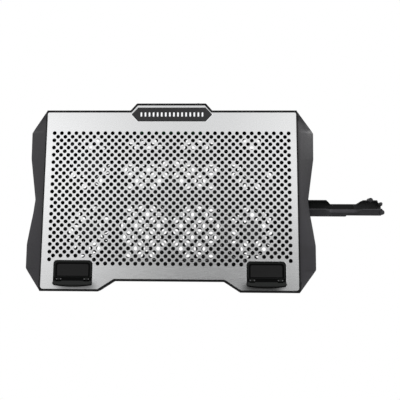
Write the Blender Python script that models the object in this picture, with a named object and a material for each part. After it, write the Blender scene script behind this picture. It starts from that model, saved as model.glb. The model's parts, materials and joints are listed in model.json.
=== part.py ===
"""Laptop cooling pad: perforated metal deck in a moulded frame with side wings,
bottom cover with vents, four corner fans, two flip-up stoppers, a swing-out
phone holder, a folding rear stand and the control electronics.

Lengths below are millimetres and become metres when a mesh is made.
X runs to the right, Y to the rear, Z up. The origin is on the desk, under the
middle of the hole field of the deck.
"""
import math

import bmesh
import bpy
from mathutils import Vector
from mathutils.geometry import tessellate_polygon

# ------------------------------------------------------------ shared sizes
MM = 0.001
SIDES = (("left", -1), ("right", 1))

DECK_HALF_W = 171.4            # outer edge of the rim at its four corners
FRONT_CORNER = (DECK_HALF_W, -124.95)
REAR_CORNER = (DECK_HALF_W, 120.55)
# right half of the front edge with its centre notch: x, y
FRONT_EDGE = [(72.2, -111.4), (93.5, FRONT_CORNER[1]), FRONT_CORNER]
# right half of the rear edge with its centre tab: x, y
REAR_EDGE = [REAR_CORNER, (56.1, REAR_CORNER[1]), (47.5, 130.45)]
# right wing's outer edge, front to rear: x, y, corner radius
WING = [(196.2, -95.9, 4.0), (196.4, -63.5, 12.0), (193.3, -43.0, 30.0),
        (189.6, -21.0, 18.0), (187.5, -2.0, 9.0), (195.7, 55.0, 30.0),
        (196.2, 92.0, 4.0)]

PLATE_GAP_FRONT_REAR = 2.8     # rim width at front and rear
PLATE_GAP_SIDE = 0.6

VENT_X = (37.0, 111.0)         # the outer pair lies under the fans
VENT_Y = 43.5

STOP_X = 128.0                 # centre of each stopper
STOP_HALF_W = 25.5
STOP_REAR_Y = -84.6

HOLDER_PIVOT = (176.0, -11.0)
STAND_AXIS = (103.0, 3.1)      # y, z of the stand's hinge
SCREWS = [(side * x, y) for x, y in ((62.0, -99.0), (152.0, 0.0), (100.0, 104.0))
          for side in (1, -1)]

SOCKET_X = 12.0                # distance of each socket from the middle
CONTROL_Z = 17.5               # mid height of the speed wheel and the button
WHEEL_CENTRE = (36.6, 126.6)
BUTTON_X = -WHEEL_CENTRE[0]


# ---------------------------------------------------------------- materials
def material(name, color, roughness, metallic=0.0):
    mat = bpy.data.materials.new(name)
    mat.use_nodes = True
    shader = mat.node_tree.nodes["Principled BSDF"]
    shader.inputs["Base Color"].default_value = (*color, 1.0)
    shader.inputs["Roughness"].default_value = roughness
    shader.inputs["Metallic"].default_value = metallic
    return mat


SILVER = material("satin_silver", color=(0.72, 0.73, 0.74), roughness=0.35, metallic=0.9)
GRAPHITE = material("graphite_plastic", color=(0.06, 0.058, 0.064), roughness=0.45)
BLACK = material("black_plastic", color=(0.02, 0.02, 0.021), roughness=0.5)
GLOSS = material("smoked_lens", color=(0.03, 0.03, 0.034), roughness=0.2)
LIGHT = material("light_guide", color=(0.9, 0.92, 0.93), roughness=0.3)
STEEL = material("steel", color=(0.55, 0.55, 0.56), roughness=0.3, metallic=1.0)
RUBBER = material("rubber", color=(0.015, 0.015, 0.015), roughness=0.85)
FAN = material("fan_plastic", color=(0.025, 0.025, 0.027), roughness=0.4)
COPPER = material("copper_coil", color=(0.6, 0.28, 0.12), roughness=0.35, metallic=1.0)
BOARD = material("board_green", color=(0.02, 0.13, 0.06), roughness=0.5)
WIRE = material("wire_jacket", color=(0.02, 0.02, 0.02), roughness=0.6)


# --------------------------------------------------------- plane outlines
def rectangle(x_min, x_max, y_min, y_max):
    return [(x_min, y_min), (x_max, y_min), (x_max, y_max), (x_min, y_max)]


def circle(x, y, radius, count, phase=0.0):
    return [(x + radius * math.cos(phase + 2 * math.pi * i / count),
             y + radius * math.sin(phase + 2 * math.pi * i / count)) for i in range(count)]


def rounded(corners, steps):
    """Outline with each (x, y, radius) corner rounded in the given steps."""
    outline = []
    for i, (x, y, radius) in enumerate(corners):
        corner = Vector((x, y))
        back = Vector(corners[i - 1][:2]) - corner
        ahead = Vector(corners[(i + 1) % len(corners)][:2]) - corner
        turn = math.pi - back.angle(ahead)
        if radius <= 0 or turn < 1e-3:
            outline.append((x, y))
            continue
        back.normalize()
        ahead.normalize()
        trim = radius * math.tan(turn / 2)
        start, end = corner + back * trim, corner + ahead * trim
        middle = corner + (back + ahead).normalized() * (radius / math.cos(turn / 2))
        spoke_start, spoke_end = start - middle, end - middle
        for k in range(steps + 1):
            part = k / steps
            spoke = (spoke_start * (1 - part) + spoke_end * part).normalized() * radius
            outline.append(tuple(middle + spoke))
    return outline


def offset(outline, distance):
    """An anticlockwise outline moved inwards, by a number or one value for each edge."""
    count = len(outline)
    if isinstance(distance, (int, float)):
        distance = [distance] * count
    result = []
    for i in range(count):
        before, here, after = (Vector(outline[k % count]) for k in (i - 1, i, i + 1))
        edge_in = (here - before).normalized()
        edge_out = (after - here).normalized()
        start = here + Vector((-edge_in.y, edge_in.x)) * distance[i - 1]
        end = here + Vector((-edge_out.y, edge_out.x)) * distance[i]
        cross = edge_in.x * edge_out.y - edge_in.y * edge_out.x
        if abs(cross) < 1e-4:
            result.append(tuple((start + end) / 2))
        else:
            gap = end - start
            reach = (gap.x * edge_out.y - gap.y * edge_out.x) / cross
            result.append(tuple(start + edge_in * reach))
    return result


def both_sides(points):
    """Right-hand points, front to rear, then the left-hand ones, rear to front."""
    return points + [(-p[0], *p[1:]) for p in reversed(points)]


def signed_area(loop):
    """Twice the loop's area, positive where it runs anticlockwise."""
    return sum(loop[i - 1][0] * loop[i][1] - loop[i][0] * loop[i - 1][1]
               for i in range(len(loop)))


def triangle_area(points, triangle):
    """Twice the triangle's area, positive where it runs anticlockwise."""
    first, second, third = (points[i] for i in triangle)
    return ((second[0] - first[0]) * (third[1] - first[1])
            - (second[1] - first[1]) * (third[0] - first[0]))


def triangulate(loops):
    return tessellate_polygon([[Vector((*p, 0)) for p in loop] for loop in loops])


def span(side, near, far, centre=0.0):
    """Ascending limits of a stretch on one side (-1 or 1) of a centre."""
    return sorted((centre + side * near, centre + side * far))


# -------------------------------------------- solids, as (vertices, faces)
def outward(shape):
    """The shape with all its faces flipped if it encloses a negative volume."""
    verts, faces = shape
    volume = 0.0
    for face in faces:
        apex = Vector(verts[face[0]])
        for i in range(1, len(face) - 1):
            volume += apex.dot(Vector(verts[face[i]]).cross(Vector(verts[face[i + 1]])))
    if volume < 0:
        faces = [tuple(reversed(f)) for f in faces]
    return verts, faces


def to_axis(across, up, along, axis):
    """Plane coordinates and a distance along the axis as x, y, z."""
    return {"Z": (across, up, along), "X": (along, across, up), "Y": (up, along, across)}[axis]


def extrude(loops, low, high, axis="Z"):
    """A prism of loops[0] with the other loops as through holes."""
    loops = [list(loop) for loop in loops]
    for k, loop in enumerate(loops):
        if (signed_area(loop) > 0) != (k == 0):
            loop.reverse()
    points = [p for loop in loops for p in loop]
    total = len(points)
    verts = [to_axis(*p, level, axis) for level in (high, low) for p in points]
    faces = []
    for tri in triangulate(loops):
        if triangle_area(points, tri) < 0:
            tri = tuple(reversed(tri))
        faces.append(tuple(tri))
        faces.append(tuple(i + total for i in reversed(tri)))
    start = 0
    for loop in loops:
        count = len(loop)
        for i in range(count):
            here, after = start + i, start + (i + 1) % count
            faces.append((here + total, after + total, after, here))
        start += count
    return verts, faces


def box(x_min, x_max, y_min, y_max, z_min, z_max):
    return extrude([rectangle(x_min, x_max, y_min, y_max)], z_min, z_max)


def cylinder(across, up, radius, low, high, count, axis="Z"):
    return extrude([circle(across, up, radius, count)], low, high, axis)


def band(first, second, count):
    """Quads between two loops that start at the given vertex numbers."""
    faces = []
    for i in range(count):
        j = (i + 1) % count
        faces.append((first + i, first + j, second + j, second + i))
    return faces


def skin(loops, caps=True):
    """Loops of equal count joined in turn. Closed by caps, or last to first."""
    count = len(loops[0])
    verts = [p for loop in loops for p in loop]
    faces = []
    for k in range(len(loops) - 1 if caps else len(loops)):
        faces += band(k * count, (k + 1) % len(loops) * count, count)
    for k in (0, len(loops) - 1) if caps else ():
        # triangulated in the plane that drops the axis of least spread
        loop = loops[k]
        spread = [max(p[c] for p in loop) - min(p[c] for p in loop) for c in range(3)]
        first, second = [(1, 2), (2, 0), (0, 1)][spread.index(min(spread))]
        flat = [(p[first], p[second]) for p in loop]
        anticlockwise = signed_area(flat) > 0
        for tri in triangulate([flat]):
            if (triangle_area(flat, tri) > 0) != anticlockwise:
                tri = tuple(reversed(tri))
            if k == 0:
                tri = tuple(reversed(tri))
            faces.append(tuple(k * count + i for i in tri))
    return outward((verts, faces))


def moved(shape, shift_x, shift_y):
    verts, faces = shape
    return [(x + shift_x, y + shift_y, z) for x, y, z in verts], faces


def spun(profile, count, x, y):
    """A profile of (radius, z), capped at both ends, turned about an upright axis."""
    loops = [[(*point, z) for point in circle(0, 0, radius, count)] for radius, z in profile]
    return moved(skin(loops), x, y)


def together(shapes):
    verts, faces = [], []
    for shape_verts, shape_faces in shapes:
        base = len(verts)
        verts += shape_verts
        faces += [tuple(base + i for i in face) for face in shape_faces]
    return verts, faces


# ------------------------------------------------------------------ objects
for old in list(bpy.data.objects):
    bpy.data.objects.remove(old, do_unlink=True)

ROOT = bpy.data.objects.new("cooling_pad", None)
bpy.context.scene.collection.objects.link(ROOT)


def make(name, shape, mat, origin=(0, 0, 0), smooth=True):
    verts, faces = shape
    mesh = bpy.data.meshes.new(name)
    mesh.from_pydata([tuple((c - o) * MM for c, o in zip(v, origin)) for v in verts], [], faces)
    mesh.validate()
    if mat:
        mesh.materials.append(mat)
    if smooth:
        mesh.shade_smooth()
        mesh.set_sharp_from_angle(angle=math.radians(32))
    obj = bpy.data.objects.new(name, mesh)
    obj.location = [c * MM for c in origin]
    bpy.context.scene.collection.objects.link(obj)
    obj.parent = ROOT
    return obj


def attach(obj, helper, operation, modifier_name):
    """Combine obj with a helper object that itself stays out of renders."""
    helper.hide_render = True
    helper.display_type = "WIRE"
    mod = obj.modifiers.new(modifier_name, "BOOLEAN")
    mod.operation = operation
    mod.solver = "EXACT"
    mod.object = helper


def boolean(obj, shape, operation):
    kind = operation.lower()
    helper = make(f"{obj.name}_{kind}_{len(obj.modifiers)}", shape, None, smooth=False)
    attach(obj, helper, operation, kind)


def cut(obj, shape):
    boolean(obj, shape, "DIFFERENCE")


def add(obj, shape):
    boolean(obj, shape, "UNION")


# ---------------------------------------------------------------- top frame
RIM_SIDE_X = 172.0             # rim's outer edge between the corners, beside the wings
WING_ROOT_X = 172.5
RIM_TOP_Z = 28.2
WING_ROOT_Z = 26.9
WING_EDGE_Z = 15.5
PART_LINE_Z = 14.3             # lower edge of the frame
LEDGE_Z = (25.2, 26.9)         # underside and top of the ledge below the plate
SEAT_PLAY = 0.3                # gap between the plate and the frame
LEDGE_GAP_SIDE, LEDGE_GAP_FRONT_REAR = 5.2, 6.8
# heights of the outer surface: foot of the rim, upper end of the side wall
CORNER_Z = (27.2, 26.8)
FRONT_REAR_Z = (23.5, 18.5)
WALL = 2.0
WING_WALL = 3.0
UNDER_Z = 22.5                 # inside of the frame, away from the wings
WING_UNDER_MAX_Z = 23.0
WING_SKIN = 2.2                # height of the wing's material

BOSS_R, BOSS_Z = 3.6, (20.5, 26.6)
BORE_R, BORE_Z = 1.6, (20.0, 25.2)
RIB_HALF_W, RIB_Z = 1.6, (22.0, 26.5)
RIB_END_X, RIB_FRONT_Y, RIB_REAR_Y = 168.0, -106.0, 115.0
PIVOT_BOSS_R, PIVOT_BOSS_Z = 4.4, (14.6, 20.2)
PIVOT_BORE_R, PIVOT_BORE_Z = 2.3, (14.0, 18.8)
TRAY_OPENING_HALF_W = 28.2
TRAY_OPENING_YZ = (-121.0, -108.0, 13.0, 27.05)
REAR_OPENING_Y = (126.0, 131.0)
SOCKET_OPENING_HALF_W, SOCKET_OPENING_Z = 6.9, (13.0, 20.9)
WHEEL_OPENING_HALF_W, WHEEL_OPENING_Z = 7.6, (15.6, 19.4)
BUTTON_OPENING_R = 3.4


def edge_gaps(outline, side_gap, other_gap):
    """One gap for each edge: side_gap along the deck's left and right edges."""
    gaps = []
    for i, (x, _) in enumerate(outline):
        next_x = outline[(i + 1) % len(outline)][0]
        along_side = abs(x - next_x) < 0.01 and abs(x) > DECK_HALF_W - 1
        gaps.append(side_gap if along_side else other_gap)
    return gaps


def frame_stations():
    """Points round the frame's outer edge: x, y, kind."""
    def diagonal(corner, wing_end, parts):
        return [(corner[0] + (wing_end[0] - corner[0]) * part,
                 corner[1] + (wing_end[1] - corner[1]) * part, "diag") for part in parts]

    wing_arc = rounded([(*FRONT_CORNER, 0), *WING, (*REAR_CORNER, 0)], 2)[1:-1]
    return both_sides([
        *[(*p, "edge") for p in FRONT_EDGE],
        *diagonal(FRONT_CORNER, WING[0], (0.3, 0.62)),
        *[(*p, "wing") for p in wing_arc],
        *diagonal(REAR_CORNER, WING[-1], (0.62, 0.3)),
        *[(*p, "edge") for p in REAR_EDGE]])


def raised(points, z):
    return [(x, y, z) for x, y in points]


def slope_z(x, edge_x):
    """Height of a wing's top at x, for a wing that ends at edge_x."""
    return (WING_ROOT_Z - (abs(x) - WING_ROOT_X) / (edge_x - WING_ROOT_X)
            * (WING_ROOT_Z - WING_EDGE_Z))


def frame_loops():
    """Rings round the frame, from the plate's seat out, down, under and back in."""
    stations = frame_stations()
    count = len(stations)
    outer = [(x, y) for x, y, _ in stations]
    deck = [(x if kind == "edge" else math.copysign(DECK_HALF_W, x), y)
            for x, y, kind in stations]
    straight = [stations[i][2] == "edge" == stations[(i + 1) % count][2] for i in range(count)]
    seat = offset(deck, edge_gaps(deck, PLATE_GAP_SIDE - SEAT_PLAY,
                                  PLATE_GAP_FRONT_REAR - SEAT_PLAY))
    ledge = offset(deck, edge_gaps(deck, LEDGE_GAP_SIDE, LEDGE_GAP_FRONT_REAR))
    rim_inner = offset(deck, 0.5)
    under = offset(outer, [WALL if flag else WING_WALL for flag in straight])

    rim_top, rim_low, foot, edge_top, roof = [], [], [], [], []
    for i, (x, y, kind) in enumerate(stations):
        if kind == "edge":
            at_corner = abs(x) > DECK_HALF_W - 1
            foot_z, edge_z = CORNER_Z if at_corner else FRONT_REAR_Z
            rim_top.append((*rim_inner[i], RIM_TOP_Z))
            rim_low.append((x, y, RIM_TOP_Z - 0.6))
            foot.append((x, y, foot_z))
            edge_top.append((x, y, edge_z))
            roof.append((*under[i], UNDER_Z))
            continue
        side = math.copysign(1, x)
        edge_x = abs(x) if kind == "wing" else WING[0][0]
        foot_x = WING_ROOT_X + min(4.1, 0.4 * (abs(x) - WING_ROOT_X))
        rim_top.append((side * RIM_SIDE_X, y, RIM_TOP_Z))
        rim_low.append((side * WING_ROOT_X, y, WING_ROOT_Z))
        # a shallow groove follows the root of the wing
        foot.append((side * foot_x, y, slope_z(foot_x, edge_x) - 0.25))
        edge_top.append((x, y, slope_z(x, edge_x)))
        roof_z = min(WING_UNDER_MAX_Z, slope_z(under[i][0], edge_x) - WING_SKIN)
        roof.append((*under[i], roof_z))

    return [raised(seat, RIM_TOP_Z), rim_top, rim_low, foot, edge_top,
            raised(outer, PART_LINE_Z), raised(offset(outer, WALL), PART_LINE_Z), roof,
            raised(offset(deck, WALL), LEDGE_Z[0]),
            raised(ledge, LEDGE_Z[0]), raised(ledge, LEDGE_Z[1]), raised(seat, LEDGE_Z[1])]


def screw_rib(x, y):
    """Rib that ties a screw boss to the nearest part of the ledge."""
    if abs(y) < 1:
        side = math.copysign(1, x)
        return box(*sorted((x + side * 1, side * RIB_END_X)), -RIB_HALF_W, RIB_HALF_W, *RIB_Z)
    end_y = RIB_FRONT_Y if y < 0 else RIB_REAR_Y
    return box(x - RIB_HALF_W, x + RIB_HALF_W, *sorted((y, end_y)), *RIB_Z)


def build_top_frame():
    frame = make("top_frame", skin(frame_loops(), caps=False), GRAPHITE)
    add(frame, together([cylinder(x, y, BOSS_R, *BOSS_Z, count=10) for x, y in SCREWS]))
    add(frame, together([screw_rib(x, y) for x, y in SCREWS]))
    add(frame, cylinder(*HOLDER_PIVOT, PIVOT_BOSS_R, *PIVOT_BOSS_Z, count=16))
    bores = [cylinder(x, y, BORE_R, *BORE_Z, count=8) for x, y in SCREWS]
    bores.append(cylinder(*HOLDER_PIVOT, PIVOT_BORE_R, *PIVOT_BORE_Z, count=12))
    cut(frame, together(bores))
    # room for the stopper trays, the sockets, the wheel and the button
    openings = [box(side * STOP_X - TRAY_OPENING_HALF_W, side * STOP_X + TRAY_OPENING_HALF_W,
                    *TRAY_OPENING_YZ) for side in (1, -1)]
    openings += [box(x - SOCKET_OPENING_HALF_W, x + SOCKET_OPENING_HALF_W,
                     *REAR_OPENING_Y, *SOCKET_OPENING_Z) for x in (-SOCKET_X, SOCKET_X)]
    openings.append(box(WHEEL_CENTRE[0] - WHEEL_OPENING_HALF_W,
                        WHEEL_CENTRE[0] + WHEEL_OPENING_HALF_W,
                        *REAR_OPENING_Y, *WHEEL_OPENING_Z))
    openings.append(cylinder(CONTROL_Z, BUTTON_X, BUTTON_OPENING_R, *REAR_OPENING_Y,
                             count=20, axis="Y"))
    cut(frame, together(openings))


# ------------------------------------------------------ top plate and badge
PLATE_Z = (27.2, 28.0)
HOLE_PITCH = 36.0              # within a row; rows lie half a pitch apart
HOLE_R = 8.4
HOLE_LIMIT_X = 156.0
STOP_CLEAR_X, STOP_CLEAR_Y = (90, 166), -66   # no holes around the stoppers

# hexagon: tip x, flat half length, centre y, half height
BADGE = (55.0, 46.3, 114.8, 9.3)
BADGE_X = 0.8
LENS_Z = (27.2, 27.9)
BARS, BAR_PITCH = 16, 5.6
SLOT_HALF_W, SLOT_Y = 1.3, (111.6, 118.0)
BAR_HALF_W, BAR_Y, BAR_Z = 1.0, (111.9, 117.7), (25.0, 27.7)
GUIDE_BOX = (-44.0, 44.0, 109.5, 120.1, 23.4, 25.4)


def stop_outline(centre_x, grow):
    """Plan of a stopper: bowed front edge, rounded rear corners."""
    half_w, rear = STOP_HALF_W + grow, STOP_REAR_Y + grow
    front = [(centre_x + half_w * t, -116.0 - grow - 2.2 * (1 - t * t), 0)
             for t in (-1, -0.75, -0.45, -0.15, 0.15, 0.45, 0.75, 1)]
    return rounded([*front, (centre_x + half_w, rear, 4.6), (centre_x - half_w, rear, 4.6)], 3)


def badge_outline(grow):
    tip, flat, mid_y, half_h = BADGE
    points = [(-tip, mid_y), (-flat, mid_y - half_h), (flat, mid_y - half_h),
              (tip, mid_y), (flat, mid_y + half_h), (-flat, mid_y + half_h)]
    return [(x + BADGE_X, y) for x, y in offset(points, -grow)]


def build_top_plate():
    deck = both_sides(FRONT_EDGE + REAR_EDGE)
    outline = offset(deck, edge_gaps(deck, PLATE_GAP_SIDE, PLATE_GAP_FRONT_REAR))
    holes = [stop_outline(side * STOP_X, 0.5) for side in (-1, 1)] + [badge_outline(0.4)]
    for row in range(-4, 5):
        shift = 0.5 if row % 2 else 0.0
        y = row * HOLE_PITCH / 2
        for col in range(-6, 7):
            x = (col + shift) * HOLE_PITCH
            near_stop = y < STOP_CLEAR_Y and STOP_CLEAR_X[0] < abs(x) < STOP_CLEAR_X[1]
            if abs(x) < HOLE_LIMIT_X and not near_stop:
                holes.append(circle(x, y, HOLE_R, 6, math.pi / 6))
    make("top_plate", extrude([outline, *holes], *PLATE_Z), SILVER)


def build_badge():
    """Smoked lens with a row of slots, and the light guide whose bars fill them."""
    bar_x = [BADGE_X + (i - (BARS - 1) / 2) * BAR_PITCH for i in range(BARS)]
    slots = [rectangle(x - SLOT_HALF_W, x + SLOT_HALF_W, *SLOT_Y) for x in bar_x]
    make("badge_lens", extrude([badge_outline(0.0), *slots], *LENS_Z), GLOSS)
    guide = make("badge_light_guide", box(*GUIDE_BOX), LIGHT)
    add(guide, together([box(x - BAR_HALF_W, x + BAR_HALF_W, *BAR_Y, *BAR_Z) for x in bar_x]))


# ------------------------------------------------------------- bottom cover
FLOOR_Z = (5.4, 7.0)           # underside and top of the floor
# rings from top to bottom: inset beside the wings, inset at front and rear, z
COVER_SHELL = [(0.4, 0.3, 14.0), (6.4, 2.6, 6.0), (9.0, 4.5, 3.0)]
COVER_CAVITY = [(2.6, 2.3, 15.0), (8.6, 4.9, FLOOR_Z[1])]
COVER_RECESS = [(11.6, 7.2, 2.0), (11.6, 7.2, FLOOR_Z[0])]
POCKET = (161.5, 200.0, -26.0, 107.5)   # x and y limits of the phone holder's pocket
POCKET_WALL = 2.0
POCKET_ROOF = [(159.6, -27.9), (183.6, -27.9), (183.6, 100.0), (177.0, 109.0), (159.6, 109.0)]
POCKET_ROOF_Z = (13.9, 15.2)
POCKET_ROOF_HOLE_R = 5.2

VENT_R, VENT_INNER_R = 34.0, 9.0
VENT_MARGIN = 7                # degrees between a sector and its quadrant's limits
GRILLE_Z = (4.0, 8.0)

TOWER_R, TOWER_Z = 4.2, (5.6, 20.2)
POST_X, POST_Y = 42.0, (97.0, 121.0)
POST_R, POST_Z = 2.4, (6.0, 12.6)
LUG_X = ((142.6, 146.6), (155.4, 159.2))
LUG_HALF_Y, LUG_Z = 3, (0.9, 6.2)
PILOT_R, PILOT_Z = 1.6, (7.9, 21.0)
HEAD_R, HEAD_Z = 3.3, (4.0, 8.2)
LUG_BORE_R, LUG_BORE_X = 1.5, (141.0, 160.5)


def cover_skin(rings):
    """Solid through the pad's plan outline, inset and set at the height of each ring."""
    plan = both_sides([*FRONT_EDGE, *[(x, y) for x, y, _ in WING], *REAR_EDGE])
    loops = []
    for side_inset, edge_inset, z in rings:
        insets = []
        for i, (x, _) in enumerate(plan):
            next_x = plan[(i + 1) % len(plan)][0]
            beside_wing = abs(x) > 165 and abs(next_x) > 165 and x * next_x > 0
            insets.append(side_inset if beside_wing else edge_inset)
        loops.append(raised(offset(plan, insets), z))
    return skin(loops)


def vent_sector(centre_x, centre_y, quadrant):
    start = math.radians(90 * quadrant + VENT_MARGIN)
    end = math.radians(90 * (quadrant + 1) - VENT_MARGIN)
    rim = [(VENT_R, start + (end - start) * i / 3) for i in range(4)]
    hub = [(VENT_INNER_R, end - 0.25), (VENT_INNER_R, start + 0.25)]
    return extrude([[(centre_x + radius * math.cos(angle), centre_y + radius * math.sin(angle))
                     for radius, angle in rim + hub]], *GRILLE_Z)


def build_bottom_cover():
    cover = make("bottom_cover", cover_skin(COVER_SHELL), BLACK)
    cut(cover, box(*POCKET, 0.0, 15.0))

    # the hollow leaves a wall round the pocket
    cavity = make("bottom_cavity", cover_skin(COVER_CAVITY), None)
    cut(cavity, box(POCKET[0] - POCKET_WALL, POCKET[1] + 5, POCKET[2] - POCKET_WALL,
                    POCKET[3] + POCKET_WALL, 0.0, 20.0))
    attach(cover, cavity, "DIFFERENCE", "hollow")
    cut(cover, cover_skin(COVER_RECESS))
    cut(cover, together([vent_sector(side * x, end * VENT_Y, quadrant)
                         for side in (-1, 1) for x in VENT_X
                         for end in (-1, 1) for quadrant in range(4)]))

    # the pocket's roof, which the holder slides under
    add(cover, extrude([POCKET_ROOF, circle(*HOLDER_PIVOT, POCKET_ROOF_HOLE_R, 12)],
                       *POCKET_ROOF_Z))
    add(cover, together([cylinder(x, y, TOWER_R, *TOWER_Z, count=10) for x, y in SCREWS]))
    posts = [cylinder(side * POST_X, y, POST_R, *POST_Z, count=8)
             for side in (-1, 1) for y in POST_Y]
    lugs = [box(*span(side, *limits), STAND_AXIS[0] - LUG_HALF_Y, STAND_AXIS[0] + LUG_HALF_Y,
                *LUG_Z) for side in (-1, 1) for limits in LUG_X]
    add(cover, together(posts + lugs))

    cut(cover, together([cylinder(x, y, PILOT_R, *PILOT_Z, count=8) for x, y in SCREWS]))
    head_recesses = [cylinder(x, y, HEAD_R, *HEAD_Z, count=10) for x, y in SCREWS]
    lug_bores = [cylinder(*STAND_AXIS, LUG_BORE_R, *span(side, *LUG_BORE_X), count=12, axis="X")
                 for side in (-1, 1)]
    cut(cover, together(head_recesses + lug_bores))


# --------------------------------------------------------------------- fans
FAN_Z = (7.3, 20.3)
FAN_R, FAN_WALL = 34.5, 1.5
BASE_R, BASE_TOP_Z = 12.0, 9.3
STRUT = (10.5, 33.9, -1.4, 1.4)   # limits along and across a strut
STRUT_Z = (7.6, 9.2)
STRUT_TURN = 8                    # degrees past the diagonals
BEARING_R, BEARING_Z = 4.0, (9.0, 16.6)
BEARING_BORE_R, BEARING_BORE_Z = 2.15, (9.6, 18.0)

ROTOR_MID_Z = 14.9
HUB_R = 14.5
HUB_PROFILE = [(HUB_R, 10.6), (HUB_R, 18.9), (HUB_R - 1.0, 19.8)]   # radius, z
HUB_WALL, HUB_HOLLOW_Z = 1.4, (9.0, 18.4)
SHAFT_R, SHAFT_Z = 1.7, (10.2, 19.0)
BLADES = 7
# blade sections: radius, pitch in degrees, half chord
BLADE_SECTIONS = ((13.6, 40, 5.4), (22.0, 33, 7.4), (31.9, 26, 8.6))
BLADE_HALF_T = 0.5
BLADE_HALF_H = 4.6                # sections are clamped to this height
BLADE_SWEEP = 0.9                 # degrees for each mm of radius

POLE_R, POLE_VALLEY_R = 12.6, 7.4
POLE_ANGLES = (-0.62, -0.30, 0.30, 0.62)   # radians from the pole's middle
STATOR_BORE_R, STATOR_Z = 4.3, (10.4, 16.4)


def consistent(verts, faces):
    """Faces turned to agree with their neighbours."""
    work = bmesh.new()
    work_verts = [work.verts.new(v) for v in verts]
    for face in faces:
        work.faces.new([work_verts[i] for i in face])
    bmesh.ops.recalc_face_normals(work, faces=work.faces)
    work.verts.index_update()
    result = [tuple(v.index for v in face.verts) for face in work.faces]
    work.free()
    return verts, result


def blade(start_angle):
    verts = []
    root_r = BLADE_SECTIONS[0][0]
    for radius, degrees, half in BLADE_SECTIONS:
        lag = math.radians(BLADE_SWEEP * (radius - root_r))
        pitch = math.radians(degrees)
        for chord, thick in rectangle(-half, half, -BLADE_HALF_T, BLADE_HALF_T):
            around = chord * math.cos(pitch) - thick * math.sin(pitch)
            rise = chord * math.sin(pitch) + thick * math.cos(pitch)
            rise = max(-BLADE_HALF_H, min(BLADE_HALF_H, rise))
            angle = start_angle + lag + around / radius
            verts.append((radius * math.cos(angle), radius * math.sin(angle),
                          ROTOR_MID_Z + rise))
    faces = band(0, 4, 4) + band(4, 8, 4) + [(0, 1, 2, 3), (11, 10, 9, 8)]
    return outward(consistent(verts, faces))


def build_fan_frame(where, x, y):
    frame = make(f"fan_frame_{where}",
                 extrude([circle(x, y, FAN_R, 24), circle(x, y, FAN_R - FAN_WALL, 24)], *FAN_Z),
                 FAN, (x, y, 0))
    add(frame, cylinder(x, y, BASE_R, FAN_Z[0], BASE_TOP_Z, count=16))
    struts = []
    for k in range(4):
        angle = math.radians(45 + 90 * k + STRUT_TURN)
        cos, sin = math.cos(angle), math.sin(angle)
        quad = [(x + along * cos - across * sin, y + along * sin + across * cos)
                for along, across in rectangle(*STRUT)]
        struts.append(extrude([quad], *STRUT_Z))
    add(frame, together(struts))
    add(frame, cylinder(x, y, BEARING_R, *BEARING_Z, count=12))
    cut(frame, cylinder(x, y, BEARING_BORE_R, *BEARING_BORE_Z, count=10))


def build_fan_rotor(where, x, y):
    rotor = make(f"fan_rotor_{where}", spun(HUB_PROFILE, 20, x, y), FAN, (x, y, ROTOR_MID_Z))
    add(rotor, together([moved(blade(2 * math.pi * k / BLADES), x, y) for k in range(BLADES)]))
    cut(rotor, cylinder(x, y, HUB_R - HUB_WALL, *HUB_HOLLOW_Z, count=16))
    add(rotor, cylinder(x, y, SHAFT_R, *SHAFT_Z, count=10))


def build_fan_stator(where, x, y):
    polar = []
    for k in range(4):
        polar += [(POLE_R, math.radians(90 * k) + turn) for turn in POLE_ANGLES]
        polar.append((POLE_VALLEY_R, math.radians(90 * k + 45)))
    poles = [(x + radius * math.cos(angle), y + radius * math.sin(angle))
             for radius, angle in polar]
    make(f"fan_stator_{where}", extrude([poles, circle(x, y, STATOR_BORE_R, 16)], *STATOR_Z),
         COPPER, (x, y, 0))


def build_fans():
    for row, end in (("front", -1), ("rear", 1)):
        for label, side in SIDES:
            place = (f"{row}_{label}", side * VENT_X[1], end * VENT_Y)
            build_fan_frame(*place)
            build_fan_rotor(*place)
            build_fan_stator(*place)


# ----------------------------------------------------------------- stoppers
STOP_AXIS = (-109.0, 26.2)     # y, z of the stopper's hinge
TRAY_HALF_W, TRAY_YZ = 27.4, (-120.5, -82.6, 14.4, 26.8)
TRAY_HOLLOW_HALF_W, TRAY_HOLLOW_YZ = 26.2, (-119.4, -83.9, 15.5, 28.0)
EAR_X = (16.2, 20.7)           # from the stopper's centre
EAR_R = 2.3
EAR_BORE_R = 1.35
EAR_NOTCH_X, EAR_NOTCH_YZ = (15.8, 21.1), (-112.2, -105.9, 23.0, 29.4)
FLAP_STATIONS = (-STOP_HALF_W, -19.0, -11.0, 0.0, 11.0, 19.0, STOP_HALF_W)
FLAP_BORE_R, FLAP_BORE_HALF_W = 1.4, 26
FLAP_CORNER_R, FLAP_CORNER_Z = 4.5, (26.0, 28.5)
STOP_PIN_R, STOP_PIN_HALF_W = 1.05, 25.3


def ear_outline():
    """Plan of a hinge ear in (y, z), with a flattened top round the axis."""
    axis_y, axis_z = STOP_AXIS
    top = []
    for i in range(10):
        angle = math.pi * i / 6
        flatten = 0.74 if i <= 6 else 1
        top.append((axis_y + EAR_R * math.cos(angle),
                    axis_z + EAR_R * math.sin(angle) * flatten))
    return [(axis_y + 0.4, 15.0), (axis_y + 4.2, 15.0), (axis_y + 4.2, 21.7), *top,
            (axis_y + 0.4, axis_z - 2.7)]


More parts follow.
